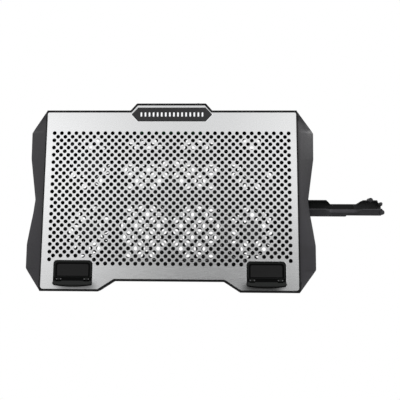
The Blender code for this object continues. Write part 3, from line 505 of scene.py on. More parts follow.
def make(name, shape, materials=(), angle=32, pick=None):
    """Object from a shape. pick gives a face's material slot from its centre and its normal."""
    verts, faces = shape
    mesh = bpy.data.meshes.new(name)
    mesh.from_pydata([(x * MILLI, y * MILLI, z * MILLI) for x, y, z in verts], [], faces)
    mesh.validate()
    for material in materials if isinstance(materials, (list, tuple)) else [materials]:
        mesh.materials.append(material)
    if pick:
        for poly in mesh.polygons:
            poly.material_index = pick(poly.center / MILLI, poly.normal)
    smooth(mesh, angle)
    obj = bpy.data.objects.new(name, mesh)
    scene.collection.objects.link(obj)
    return obj


def apply_all(obj):
    """Modifiers made part of the mesh, so that the shape is final."""
    bpy.context.view_layer.update()
    graph = bpy.context.evaluated_depsgraph_get()
    mesh = bpy.data.meshes.new_from_object(obj.evaluated_get(graph))
    old = obj.data
    obj.modifiers.clear()
    obj.data = mesh
    bpy.data.meshes.remove(old)


def cut_with(obj, tool):
    """Takes the tool object out of obj and deletes the tool."""
    modifier = obj.modifiers.new("cut", "BOOLEAN")
    modifier.operation = "DIFFERENCE"
    modifier.solver = "EXACT"
    modifier.object = tool
    apply_all(obj)
    mesh = tool.data
    bpy.data.objects.remove(tool, do_unlink=True)
    bpy.data.meshes.remove(mesh)


def cut(obj, shape):
    cut_with(obj, make("helper", shape))


def soften(obj, width, steps=2, angle=40):
    """Rounded edges, then smooth shading that keeps real corners crisp."""
    modifier = obj.modifiers.new("edges", "BEVEL")
    modifier.width = width * MILLI
    modifier.segments = steps
    modifier.limit_method = "ANGLE"
    modifier.angle_limit = math.radians(angle)
    modifier.use_clamp_overlap = True
    modifier.miter_outer = "MITER_ARC"
    apply_all(obj)
    smooth(obj.data, 38)
    return obj


def show(obj, *nodes, slot, body="casing"):
    """Fixes obj to a moving body, in place of the named CAD nodes. Its slot is not used."""
    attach(obj, body)
    if nodes:
        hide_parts(*nodes)


# ============================================================ driving sizes
# The deck outline: a wide notch in the front edge, a tab in the middle of the rear edge.
DECK_HALF_W, DECK_FRONT_Y, DECK_REAR_Y = 171.4, -124.95, 120.55
NOTCH_INNER, NOTCH_OUTER = (72.2, -111.4), (93.5, DECK_FRONT_Y)
TAB_OUTER, TAB_INNER = (56.1, DECK_REAR_Y), (47.5, 130.45)
DECK_CORNERS = [(DECK_HALF_W, DECK_FRONT_Y), (DECK_HALF_W, DECK_REAR_Y)]
# Edge of the right wing, front to rear: x, y, corner radius.
WING = [(196.2, -95.9, 4.0), (196.4, -63.5, 12.0), (193.3, -43.0, 30.0), (189.6, -21.0, 18.0),
        (187.5, -2.0, 9.0), (195.7, 55.0, 30.0), (196.2, 92.0, 4.0)]
WING_ROOT_X, WING_ROOT_Z, WING_EDGE_Z = 172.5, 27.5, 15.5
RIM_TOP_Z, PART_LINE_Z, COVER_TOP_Z, SKIRT_Z = 28.2, 14.3, 14.0, 3.0
RECESS_TOP_Z, CAVITY_FLOOR_Z = 5.4, 7.0  # below and above the floor of the cover
PLATE_TOP, PLATE_LOW = 28.0, 27.2
LEDGE_Z = (25.2, 26.9)
PITCH_X, PITCH_Y = 10.0, 10.1
HOLE_R, HOLE_STEPS = 2.68, 24
FAN_X, FAN_Y = 111.0, 43.5
STOP_X, STOP_REAR_Y, STOP_HALF_W = 128.0, -84.6, 25.5
BARREL_Y, BARREL_Z = -109.0, 26.2  # the stoppers' hinge axis
BADGE_X, BADGE_Y = 0.8, 114.8
BADGE_TIP, BADGE_FLAT, BADGE_HALF_Y = 55.0, 46.3, 9.3  # half widths at the tips and the flats
# Sockets and controls in the rear wall.
SOCKET_X, CONTROL_X, CONTROL_Z = 12.0, 36.6, 17.5
REAR_WALL = (126.0, 131.0)
SCREWS = [(62.0, -99.0), (-62.0, -99.0), (152.0, 0.0), (-152.0, 0.0), (100.0, 104.0),
          (-100.0, 104.0)]
PIVOT = (176.0, -11.0)  # of the phone holder


def side_gaps(poly, side, other):
    """An inset for each edge: side for the straight deck sides, other for the rest."""
    gaps = []
    for i, (x, _) in enumerate(poly):
        straight = abs(x - poly[(i + 1) % len(poly)][0]) < 0.01
        gaps.append(side if straight and abs(x) > DECK_HALF_W - 2 else other)
    return gaps


def deck_outline(side_gap, edge_gap, extra_radius=0.0):
    sharp = both_sides([NOTCH_INNER, NOTCH_OUTER, *DECK_CORNERS, TAB_OUTER, TAB_INNER])
    radii = [r + extra_radius for r in (2.0, 2.0, 3.6, 2.2, 1.2, 1.6)]
    points = offset(sharp, side_gaps(sharp, side_gap, edge_gap))
    return rounded([(x, y, r) for (x, y), r in zip(points, radii + radii[::-1])], 5)


def badge_outline(grow, radius):
    """Flat hexagon, pointed at the left and the right."""
    low, high = BADGE_Y - BADGE_HALF_Y, BADGE_Y + BADGE_HALF_Y
    points = [(-BADGE_TIP, BADGE_Y), (-BADGE_FLAT, low), (BADGE_FLAT, low), (BADGE_TIP, BADGE_Y),
              (BADGE_FLAT, high), (-BADGE_FLAT, high)]
    return rounded([(x + BADGE_X, y, radius) for x, y in offset(points, -grow)], 3)


def stop_outline(mid_x, grow):
    """Stopper opening in the deck, with a bowed front edge."""
    half, rear = STOP_HALF_W + grow, STOP_REAR_Y + grow
    front = [(mid_x + half * t, -116.0 - grow - 2.2 * (1 - t * t), 0)
             for t in [i / 8 - 1 for i in range(17)]]
    return rounded([*front, (mid_x + half, rear, 4.8), (mid_x - half, rear, 4.8)], 6)


# ==================================================================== deck
FACE, BRIGHT_EDGE, BORE = 0, 1, 2  # material slots


class Sheet:
    """Mesh in the making, with vertices shared by place."""

    def __init__(self):
        self.verts, self.faces, self.slots, self.index = [], [], [], {}

    def points(self, outline, z):
        ids = []
        for x, y in outline:
            key = (round(x, 3), round(y, 3), round(z, 3))
            if key not in self.index:
                self.index[key] = len(self.verts)
                self.verts.append((x, y, z))
            ids.append(self.index[key])
        return ids

    def face(self, ids, slot, flip=False):
        self.faces.append(tuple(reversed(ids)) if flip else tuple(ids))
        self.slots.append(slot)


def deck_cells():
    """Hole centres in staggered rows from rear to front, less those the stoppers take up."""
    cells = []
    for j in range(36):
        for i in range(33 if j % 2 == 0 else 32):
            if j == 34 and (1 <= i <= 5 or 27 <= i <= 31):
                continue
            if j == 35 and not 6 <= i <= 25:
                continue
            stagger = PITCH_X / 2 if j % 2 else 0.0
            cells.append(((i - 16) * PITCH_X + stagger, (8.75 - j / 2) * PITCH_Y))
    return cells


def punch(sheet, x, y):
    """A diamond cell with its round hole. Returns the rim of the cell."""
    half_x, half_y = PITCH_X / 2, PITCH_Y / 2
    rim = [(x + half_x, y), (x + half_x / 2, y + half_y / 2), (x, y + half_y),
           (x - half_x / 2, y + half_y / 2), (x - half_x, y), (x - half_x / 2, y - half_y / 2),
           (x, y - half_y), (x + half_x / 2, y - half_y / 2)]
    if abs(abs(x) - 100) < 1 and y < -80:  # these two cells give way to the stopper openings
        rim[5 if x < 0 else 7] = (x + math.copysign(1.95, x), y - 1.95)
    wide = circle(x, y, HOLE_R + 0.04, HOLE_STEPS)
    tight = circle(x, y, HOLE_R, HOLE_STEPS)
    for z, hole, flip in ((PLATE_TOP, wide, False), (PLATE_LOW, tight, True)):
        rim_ids, hole_ids = sheet.points(rim, z), sheet.points(hole, z)
        for k in range(8):
            arc = [hole_ids[(3 * k + m) % HOLE_STEPS] for m in (3, 2, 1, 0)]
            sheet.face((rim_ids[k], rim_ids[(k + 1) % 8], *arc), FACE, flip)
    top, mid, low = (sheet.points(outline, z) for outline, z in
                     ((wide, PLATE_TOP), (tight, PLATE_TOP - 0.05), (tight, PLATE_LOW)))
    for k in range(HOLE_STEPS):
        j = (k + 1) % HOLE_STEPS
        sheet.face((top[k], top[j], mid[j], mid[k]), BRIGHT_EDGE)
        sheet.face((mid[k], mid[j], low[j], low[k]), BORE)
    return rim


def field_border(rims):
    """Outer boundary of the hole field, chained from the cell edges that no neighbour shares."""
    edges = {}  # a dict, because it keeps the order
    for rim in rims:
        keys = [(round(x, 3), round(y, 3)) for x, y in rim]
        for k in range(8):
            edges[keys[k], keys[(k + 1) % 8]] = True
    border = {start: end for start, end in edges if (end, start) not in edges}
    rings = []
    while border:
        start, here = next(iter(border.items()))
        ring = [start]
        del border[start]
        while here != start:
            ring.append(here)
            here = border.pop(here)
        rings.append(ring)
    return max(rings, key=lambda ring: abs(double_area(ring)))


def build_deck():
    """Thin sheet with its field of round holes, two stopper openings and the badge opening."""
    sheet = Sheet()
    field = field_border([punch(sheet, x, y) for x, y in deck_cells()])
    # Each edge of the sheet: outline at the top, outline below, depth of the chamfer.
    edges = [(deck_outline(0.95, 3.1), deck_outline(0.6, 2.8, extra_radius=0.3), 0.3)]
    edges += [(stop_outline(s * STOP_X, 0.85), stop_outline(s * STOP_X, 0.5), 0.3) for s in (-1, 1)]
    edges.append((badge_outline(1.15, 0.8), badge_outline(0.4, 0.6), 0.42))
    for side, z in enumerate((PLATE_TOP, PLATE_LOW)):
        outlines = [edge[side] for edge in edges]
        loops = wound([outlines[0], field, *outlines[1:]])
        ids = [i for loop in loops for i in sheet.points(loop, z)]
        for tri in fill(loops):
            sheet.face([ids[i] for i in tri], FACE, flip=side == 1)
    for k, (wide, tight, chamfer) in enumerate(edges):
        hole = k > 0
        top, mid, low = (sheet.points(outline, z) for outline, z in
                         ((wide, PLATE_TOP), (tight, PLATE_TOP - chamfer), (tight, PLATE_LOW)))
        flip = (double_area(wide) > 0) == hole
        for i in range(len(wide)):
            j = (i + 1) % len(wide)
            sheet.face((mid[i], mid[j], top[j], top[i]), BRIGHT_EDGE, flip)
            sheet.face((low[i], low[j], mid[j], mid[i]), BRIGHT_EDGE if hole else FACE, flip)
    mesh = bpy.data.meshes.new("deck_plate")
    mesh.from_pydata([(x * MILLI, y * MILLI, z * MILLI) for x, y, z in sheet.verts], [],
                     sheet.faces)
    for material in (SILVER, SILVER_EDGE, SHADED_HOLE_WALL):
        mesh.materials.append(material)
    for poly, slot in zip(mesh.polygons, sheet.slots):
        poly.material_index = slot
    edit = bmesh.new()
    edit.from_mesh(mesh)
    bmesh.ops.recalc_face_normals(edit, faces=edit.faces)
    edit.to_mesh(mesh)
    edit.free()
    smooth(mesh, 17)
    obj = bpy.data.objects.new("deck_plate", mesh)
    scene.collection.objects.link(obj)
    return obj


show(build_deck(), "top_plate", slot="satin_silver")

# =================================================================== frame
# Fillet from the rim to the wing: out from the root, up from the root.
FILLET = [(0.3, -2.4), (0.9, -3.2), (2.2, -3.55), (4.2, -4.2)]
# Heights down the wall below the rim, at the wing root corners and at the front and rear edges.
ROOT_HEIGHTS = [27.4, 27.3, 27.2, 27.1, 27.0, 26.95, 26.9, 26.8]
EDGE_HEIGHTS = [26.6, 25.6, 24.4, 23.0, 20.0, 17.5, 16.2, 15.2]


def between(start, end, shares):
    return [(start[0] + (end[0] - start[0]) * f, start[1] + (end[1] - start[1]) * f)
            for f in shares]


def densify(points, step=9.0):
    out = [points[0]]
    for start, end in zip(points, points[1:]):
        count = max(1, round(math.dist(start, end) / step))
        out += between(start, end, [k / count for k in range(1, count + 1)])
    return out


def frame_stations():
    """(x, y, kind) round the frame. Kinds: front or rear edge, wing root, wing end (diag), wing."""
    front, rear = DECK_CORNERS
    wing = densify(rounded([(*front, 0), *WING, (*rear, 0)], 5)[1:-1])
    notch = rounded([(0, NOTCH_INNER[1], 0), (*NOTCH_INNER, 1.6), (*NOTCH_OUTER, 1.6),
                     (*front, 0)], 3)[1:-1]
    tab = rounded([(*rear, 0), (*TAB_OUTER, 1.4), (*TAB_INNER, 1.6), (0, TAB_INNER[1], 0)], 3)[1:-1]
    runs = [(notch, "edge"), ([front], "root"),
            (between(front, wing[0], (0.12, 0.3, 0.5, 0.7, 0.86)), "diag"), (wing, "wing"),
            (between(wing[-1], rear, (0.14, 0.3, 0.5, 0.7, 0.88)), "diag"),
            ([rear], "root"), (tab, "edge")]
    return both_sides([(*point, kind) for points, kind in runs for point in points])


def planar_z(x):
    """Height of the straight slope of the wing ends."""
    return 26.9 - (abs(x) - WING_ROOT_X) / 23.7 * (26.9 - WING_EDGE_Z)


def wing_column(deck, edge, kind, near, nearer):
    """Points from the rim over the fillet and down the wing to just above its edge."""
    (deck_x, deck_y), (edge_x, edge_y) = deck, edge
    side = math.copysign(1, deck_x)
    share = max(0.04, min(1.0, (abs(edge_x) - WING_ROOT_X) / 8.0))
    end_z = WING_EDGE_Z if kind == "wing" else planar_z(edge_x)
    column = [(side * x, deck_y, RIM_TOP_Z - drop)
              for x, drop in ((171.75, 0.0), (172.15, 0.15), (172.4, 0.65))]
    for out, up in FILLET:
        foot_x, foot_z = WING_ROOT_X + out * share, WING_ROOT_Z + up * share
        column.append((side * foot_x, deck_y, foot_z))
    slope = (foot_z - end_z) / max(0.1, abs(edge_x) - foot_x)
    column.append((side * (foot_x + abs(edge_x)) / 2, (deck_y + edge_y) / 2, (foot_z + end_z) / 2))
    column.append((*near, end_z + min(0.8, abs(edge_x - near[0])) * slope))
    column.append((*nearer, end_z - 0.05))
    column.append((edge_x, edge_y, end_z - 0.55))
    return column


def frame_loops():
    """Loops round the frame: up the seat, over the rim, down the outside, back along the inside."""
    stations = frame_stations()
    outer = [(x, y) for x, y, _ in stations]
    kinds = [kind for _, _, kind in stations]
    deck = [(x if kind in ("edge", "root") else math.copysign(DECK_HALF_W, x), y)
            for x, y, kind in stations]

    def deck_inset(side, edge):
        return offset(deck, side_gaps(deck, side, edge))

    seat = deck_inset(0.36, 2.55)
    ledge = deck_inset(5.2, 6.8)
    crown, shoulder = deck_inset(0.12, 0.6), deck_inset(0.05, 0.16)
    near, nearer = offset(outer, 0.8), offset(outer, 0.2)
    columns = []
    for k, kind in enumerate(kinds):
        if kind in ("edge", "root"):
            heights = ROOT_HEIGHTS if kind == "root" else EDGE_HEIGHTS
            columns.append([(*crown[k], RIM_TOP_Z), (*shoulder[k], RIM_TOP_Z - 0.16)]
                           + [(*deck[k], z) for z in (RIM_TOP_Z - 0.6, *heights)])
        else:
            columns.append(wing_column(deck[k], outer[k], kind, near[k], nearer[k]))
    under = offset(outer, [2.0 if "edge" in (kind, kinds[(k + 1) % len(kinds)]) else 2.8
                           for k, kind in enumerate(kinds)])
    under_z = []
    for k, kind in enumerate(kinds):
        if kind == "edge":
            under_z.append(22.5)
        elif kind == "wing":
            inset = abs(outer[k][0]) - abs(under[k][0])
            under_z.append(min(23.0, WING_EDGE_Z + inset * 0.5 - 1.3))
        else:
            under_z.append(min(23.0, planar_z(under[k][0]) - 2.0))
    return [level(seat, 27.25), level(seat, 28.0), level(deck_inset(0.2, 2.35), RIM_TOP_Z),
            *zip(*columns), level(outer, PART_LINE_Z), level(offset(outer, 1.8), PART_LINE_Z),
            level(under, under_z), level(offset(deck, 2.0), LEDGE_Z[0]), level(ledge, LEDGE_Z[0]),
            level(ledge, LEDGE_Z[1]), level(seat, LEDGE_Z[1])]


def frame_slot(centre, normal):
    """0 wing, 1 rim, with painted shade on the step and fillet band just outside it, 2 side walls and
    inside.
    """
    x = abs(centre.x)
    if centre.z > 27.3 and normal.z > -0.2:
        return 1
    # The rim's black goes on over the step and the first fillet band, out to x 174, as painted shade.
    if x < 174.0 and centre.z > 22.8 and (x > 171.3 or normal.z > 0.5):
        return 1
    return 0 if normal.z > 0.35 and x > 172.5 else 2


shell = make("frame_shell", skin(frame_loops(), wrap=True), [GRAPHITE, RIM, WALL], 38, frame_slot)
openings = [box(s * STOP_X - 28.2, s * STOP_X + 28.2, -121.0, -108.0, 13.0, 27.15) for s in (1, -1)]
openings += [box(x - 6.9, x + 6.9, *REAR_WALL, 13.0, 20.9) for x in (-SOCKET_X, SOCKET_X)]
openings.append(box(CONTROL_X - 7.6, CONTROL_X + 7.6, *REAR_WALL, 15.6, 19.4))
openings.append(cylinder(CONTROL_Z, -CONTROL_X, 3.4, *REAR_WALL, 32, "Y"))
cut(shell, together(openings))
smooth(shell.data, 30)
show(shell, "top_frame", slot="graphite_plastic")

# screw bosses with their ribs, and the boss of the holder's pivot
webs = []
for x, y in SCREWS:
    side = math.copysign(1, x)
    webs.append(extrude([circle(x, y, 3.6, 24), circle(x, y, 1.6, 16)], 20.5, 26.6))
    if abs(y) < 1:
        webs.append(box(*sorted((x + side * 2.9, side * 167.5)), -1.4, 1.4, 22.0, 26.4))
    else:
        far = -105.5 if y < 0 else 114.6
        webs.append(box(x - 1.4, x + 1.4, *sorted((y + math.copysign(2.9, far - y), far)),
                        22.0, 26.4))
webs.append(extrude([circle(*PIVOT, 4.4, 28), circle(*PIVOT, 2.3, 20)], 14.6, 20.0))
show(soften(make("frame_bosses", together(webs), WALL), 0.25, angle=32), slot="graphite_plastic")

# ============================================================ bottom cover
PLAN = both_sides([NOTCH_INNER, NOTCH_OUTER, DECK_CORNERS[0], *[(x, y) for x, y, _ in WING],
                   DECK_CORNERS[1], TAB_OUTER, TAB_INNER])
# Outside of the cover, top to bottom: inset of the wing sides, inset of the other edges, z.
COVER_SIDES = [(0.4, 0.3, COVER_TOP_Z), (3.0, 1.2, 9.6), (6.4, 2.6, 5.6), (7.6, 3.4, 3.9),
               (9.0, 4.5, SKIRT_Z)]
VENT_HALF_X, VENT_HALF_Y = 35.1, 38.7
# Vents: x, y, whether it is one of the outer four.
VENTS = [(x, y, outer) for x, outer in ((-114.7, True), (-38.0, False), (35.0, False),
                                        (111.8, True)) for y in (-44.85, 50.15)]
# Hole grid of the grilles: pitch, one hole's centre, radius.
GRILLE_PITCH_X, GRILLE_PITCH_Y = 16.174, 15.832
GRILLE_X, GRILLE_Y, GRILLE_HOLE_R = 14.707, 10.57, 3.72


def plan_loop(side_inset, edge_inset, z):
    insets = []
    for i, (x, _) in enumerate(PLAN):
        after = PLAN[(i + 1) % len(PLAN)][0]
        on_side = abs(x) > 165 and abs(after) > 165 and x * after > 0
        insets.append(side_inset if on_side else edge_inset)
    return level(offset(PLAN, insets), z)


def vent_outline(mid_x, mid_y, grow, count=64):
    """Rounded square vent, a little deeper than it is wide."""
    points = []
    for k in range(count):
        angle = math.tau * (k + 0.5) / count
        cos, sin = math.cos(angle), math.sin(angle)
        points.append((mid_x + (VENT_HALF_X + grow) * math.copysign(abs(cos) ** (2 / 3), cos),
                       mid_y + (VENT_HALF_Y + grow) * math.copysign(abs(sin) ** (2 / 3), sin)))
    return points


cover = make("cover_shell", skin([plan_loop(*station) for station in COVER_SIDES]), COVER, 30)
cut(cover, box(161.5, 200.0, -26.0, 107.5, 0.0, 15.0))  # pocket for the phone holder
cavity = make("helper_cavity", skin([plan_loop(2.6, 2.3, 15.0),
                                     plan_loop(8.6, 4.9, CAVITY_FLOOR_Z)]))
cut(cavity, box(159.5, 205.0, -28.0, 109.5, 0.0, 20.0))
cut_with(cover, cavity)
cut(cover, skin([plan_loop(11.6, 7.2, 2.0), plan_loop(11.2, 6.9, RECESS_TOP_Z)]))
cut(cover, together([extrude([vent_outline(x, y, 0.9)], 4.0, 8.5) for x, y, _ in VENTS]))
cut(cover, together([cylinder(x, y, 3.3, 4.0, 8.2, 24) for x, y in SCREWS]))
show(soften(cover, 0.35), "bottom_cover", slot="black_plastic")


def is_open(x, y, outer):
    """Round hole fields. The end rows of the middle vents run three holes wide."""
    if outer:
        return math.hypot(x, y) < 33.0
    return math.hypot(x, y) < 34.6 or (30.0 < abs(y) < 34.0 and abs(x) < 21.5)


def vent_grille(vent_x, vent_y, outer):
    holes = []
    for i in range(-14, 15):
        for j in range(-12, 13):
            for shift in (0, 0.5):
                x = GRILLE_X + (i + shift) * GRILLE_PITCH_X
                y = GRILLE_Y + (j + shift) * GRILLE_PITCH_Y
                if is_open(x - vent_x, y - vent_y, outer):
                    holes.append(circle(x, y, GRILLE_HOLE_R, 24))
    return extrude([vent_outline(vent_x, vent_y, 0.8), *holes], 5.5, 6.7)


show(make("vent_grilles", together([vent_grille(*vent) for vent in VENTS]), COVER, 30),
     slot="black_plastic")

# the holder pocket's roof, the screw towers, the posts and the stand lugs
POCKET_ROOF = [(159.6, -27.9), (183.6, -27.9), (183.6, 100.0), (177.0, 109.0), (159.6, 109.0)]
# Lug outline in (y, z), rounded at the bottom.
STAND_LUG = [(100.0, 6.0), (100.0, 3.6),
             *[(103.0 + 3.0 * math.cos(t), 3.7 + 2.8 * math.sin(t))
               for t in [math.pi + math.pi * i / 12 for i in range(1, 12)]],
             (106.0, 3.6), (106.0, 6.0)]
extras = [extrude([POCKET_ROOF, circle(*PIVOT, 5.2, 28)], 14.05, 15.2)]
for x, y in SCREWS:
    extras.append(extrude([circle(x, y, 4.2, 28), circle(x, y, 1.6, 18)], 7.9, 20.2))
    extras.append(extrude([circle(x, y, 4.2, 28), circle(x, y, 3.3, 24)], 5.45, 8.0))
for side in (-1, 1):
    for y in (97.0, 121.0):
        extras.append(cylinder(side * 42.0, y, 2.4, 6.8, 12.6, 20))
    for near, far in ((142.6, 146.6), (155.4, 159.2)):
        extras.append(extrude([STAND_LUG], *sorted((side * near, side * far)), "X"))
show(soften(make("cover_towers", together(extras), COVER), 0.25), slot="black_plastic")

# ==================================================================== fans
HUB_R, BLADES = 14.5, 7
BLADE_ROOT_R, BLADE_TIP_R, BLADE_MID_Z = 13.8, 32.1, 14.9
# Fan: side in x, side in y, angle of its first blade in radians.
FANS = {"front_left": (-1, -1, 0.78), "front_right": (1, -1, 0.05),
        "rear_left": (-1, 1, 0.16), "rear_right": (1, 1, 0.76)}
# Turned profiles as (radius, z).
HUB = [(1.7, 18.2), (12.9, 18.2), (12.9, 10.6), (HUB_R, 10.6), (HUB_R, 18.6),
       (HUB_R - 0.25, 19.25), (HUB_R - 0.8, 19.7), (HUB_R - 1.6, 19.8), (10.6, 19.8),
       (10.4, 19.55), (0.4, 19.55)]
SHROUD = [(33.1, 7.4), (34.3, 7.3), (34.5, 7.6), (34.5, 12.0), (34.2, 12.4), (34.2, 15.4),
          (34.5, 15.8), (34.5, 20.0), (34.3, 20.3), (33.3, 20.3), (33.0, 20.0), (33.0, 7.6)]
MOTOR_BASE = [(12.0, 7.3), (12.0, 9.0), (11.7, 9.3), (4.0, 9.3), (4.0, 16.6), (2.15, 16.6),
              (2.15, 9.7), (0.3, 9.7)]


def blade(mid_x, mid_y, start, rows=9, columns=7):
    """Swept, twisted fan blade with a rounded tip and an aerofoil thickness."""
    top, low = [], []
    for i in range(rows + 1):
        share = i / rows
        radius = BLADE_ROOT_R + (BLADE_TIP_R - BLADE_ROOT_R) * share
        half = 3.3 + 2.2 * share
        if share > 0.8:
            half *= math.sqrt(max(0.05, 1 - ((share - 0.8) / 0.2) ** 2 * 0.55))
        pitch = math.radians(38 - 15 * share)
        sweep = math.radians(22 * share * share + 4 * share)
        for j in range(columns + 1):
            chord = -1 + 2 * j / columns
            camber = 0.9 * (1 - chord * chord)
            thick = 0.28 + 0.42 * math.sqrt(max(0, 1 - chord * chord))
            angle = start + sweep + chord * half * math.cos(pitch) / radius
            x, y = mid_x + radius * math.cos(angle), mid_y + radius * math.sin(angle)
            z = BLADE_MID_Z + chord * half * math.sin(pitch) + camber
            z = max(10.3, min(19.6, z))
            top.append((x, y, min(19.7, z + thick)))
            low.append((x, y, max(10.1, z - thick)))
    width, count = columns + 1, len(top)
    faces = []
    for i in range(rows):
        for j in range(columns):
            here, ahead = i * width + j, (i + 1) * width + j
            quad = (here, here + 1, ahead + 1, ahead)
            faces.append(quad)
            faces.append(tuple(count + k for k in reversed(quad)))

    def close(start, end):
        faces.append((start, end, count + end, count + start))

    for i in range(rows):
        close(i * width, (i + 1) * width)
        close((i + 1) * width + columns, i * width + columns)
    for j in range(columns):
        close(j + 1, j)
        close(rows * width + j, rows * width + j + 1)
    return outward((top + low, faces))


def build_fan(where, fan_x, fan_y, phase):
    def rotor_slot(centre, normal):
        in_label = math.hypot(centre.x - fan_x, centre.y - fan_y) < 10.5
        return 1 if centre.z > 19.5 and in_label and normal.z > 0.9 else 0

    rotor = [lathe(HUB, 56, fan_x, fan_y), cylinder(fan_x, fan_y, 1.7, 10.3, 18.6, 20)]
    rotor += [blade(fan_x, fan_y, phase + 2 * math.pi * k / BLADES) for k in range(BLADES)]
    show(make(f"rotor_{where}", together(rotor), [FAN, HUB_LABEL], 35, rotor_slot),
         f"fan_rotor_{where}", slot="fan_plastic", body=f"fan_rotor_{where}")

    still = [lathe(SHROUD, 72, fan_x, fan_y, wrap=True), lathe(MOTOR_BASE, 40, fan_x, fan_y)]
    for k in range(4):
        strut = turned_rectangle(fan_x, fan_y, math.radians(53 + 90 * k), 11.4, 33.6, 1.3)
        still.append(extrude([strut], 7.6, 9.1))
    show(make(f"fan_shroud_{where}", together(still), FAN, 35), f"fan_frame_{where}",
         slot="fan_plastic")


for where, (side_x, side_y, phase) in FANS.items():
    build_fan(where, side_x * FAN_X, side_y * FAN_Y, phase)

# ================================================================ stoppers
FLAP_FRONT_Y = -106.6
# Rings from the flap's edge in to its sunken panel: side inset, front inset, rear radius, z.
FLAP_RINGS = [(2.5, 0.8, 3.4, 27.9), (2.9, 1.0, 3.2, 27.3), (4.3, 1.6, 2.6, 27.25),
              (4.7, 1.9, 2.4, 27.6)]
# Section of the heel as (y, z): over the top to the lip, the lip itself with y measured from its
# front, and back under the barrel.
HEEL_TOP = [(-106.2, 27.6), (-106.8, 27.6), (-107.8, 27.6), (-109.0, 27.6), (-110.4, 27.65),
            (-111.2, 27.9), (-112.1, 28.35), (-113.2, 28.6)]
HEEL_LIP = [(2.0, 29.3), (1.4, 29.85), (0.8, 29.98), (0.3, 29.8), (0.02, 29.3), (0.15, 28.8),
            (0.8, 28.5)]
HEEL_UNDER = [(-113.0, 27.3), (-111.9, 26.6), (-111.25, 25.6), (-110.6, 24.7), (-109.7, 24.1),
              (-108.6, 24.0), (-107.5, 24.5), (-106.8, 25.4), (-106.3, 26.5)]
HEEL_MID_Y, HEEL_MID_Z = -111.0, 27.3


def flap_shape(mid_x):
    """Flat flap with a trough round its sunken panel."""
    def ring(side, front, radius):
        left, right = mid_x - (STOP_HALF_W - side), mid_x + (STOP_HALF_W - side)
        front_y, rear_y = FLAP_FRONT_Y + front, STOP_REAR_Y - side
        return rounded([(left, front_y, 0.5), (right, front_y, 0.5), (right, rear_y, radius),
                        (left, rear_y, radius)], 6)

    plate = ring(0.0, 0.0, 4.4)
    return skin([level(offset(plate, 0.3), 26.6), level(plate, 26.9), level(plate, 27.55),
                 level(offset(plate, 0.35), 27.9),
                 *[level(ring(side, front, radius), z) for side, front, radius, z in FLAP_RINGS]])


def heel_shape(mid_x):
    """From the flap over the barrel to the bowed front lip, pinched at both ends."""
    half = STOP_HALF_W
    stations = [(-half + 0.05, 0.35), (-half + 0.35, 0.1)]  # x, pinch
    stations += [(-half + 0.9 + (2 * half - 1.8) * i / 34, 0.0) for i in range(35)]
    stations += [(half - 0.35, 0.1), (half - 0.05, 0.35)]
    loops = []
    for x, pinch in stations:
        lip_y = -115.3 - 2.4 * (1 - (x / half) ** 2)
        section = HEEL_TOP + [(lip_y + y, z) for y, z in HEEL_LIP] + HEEL_UNDER
        loops.append([(mid_x + x, HEEL_MID_Y + (y - HEEL_MID_Y) * (1 - pinch * 0.25),
                       HEEL_MID_Z + (z - HEEL_MID_Z) * (1 - pinch)) for y, z in section])
    return skin(loops)


def heel_slot(centre, normal):
    """0 outside, 1 trough over the barrel, dark with painted shade, 2 top of the lip, lighter with
    painted light.
    """
    # The trough over the barrel takes a near-black colour as painted shade.
    if -111.3 < centre.y < -106.0 and normal.z > 0.0:
        return 1
    # Upward faces of the lip take a lighter colour as painted light.
    return 2 if -115.6 < centre.y < -111.3 and normal.z > 0.3 else 0


def ear_outline():
    """Hinge ear in (y, z), with a round head on the barrel's axis."""
    head = [(BARREL_Y + 2.3 * math.cos(t), BARREL_Z + 2.3 * math.sin(t) * (0.74 if t < 3.2 else 1))
            for t in [math.pi * i / 16 for i in range(25)]]
    return [(BARREL_Y + 0.4, 15.2), (BARREL_Y + 4.2, 15.2), (BARREL_Y + 4.2, 21.7), *head,
            (BARREL_Y + 0.4, BARREL_Z - 2.7)]


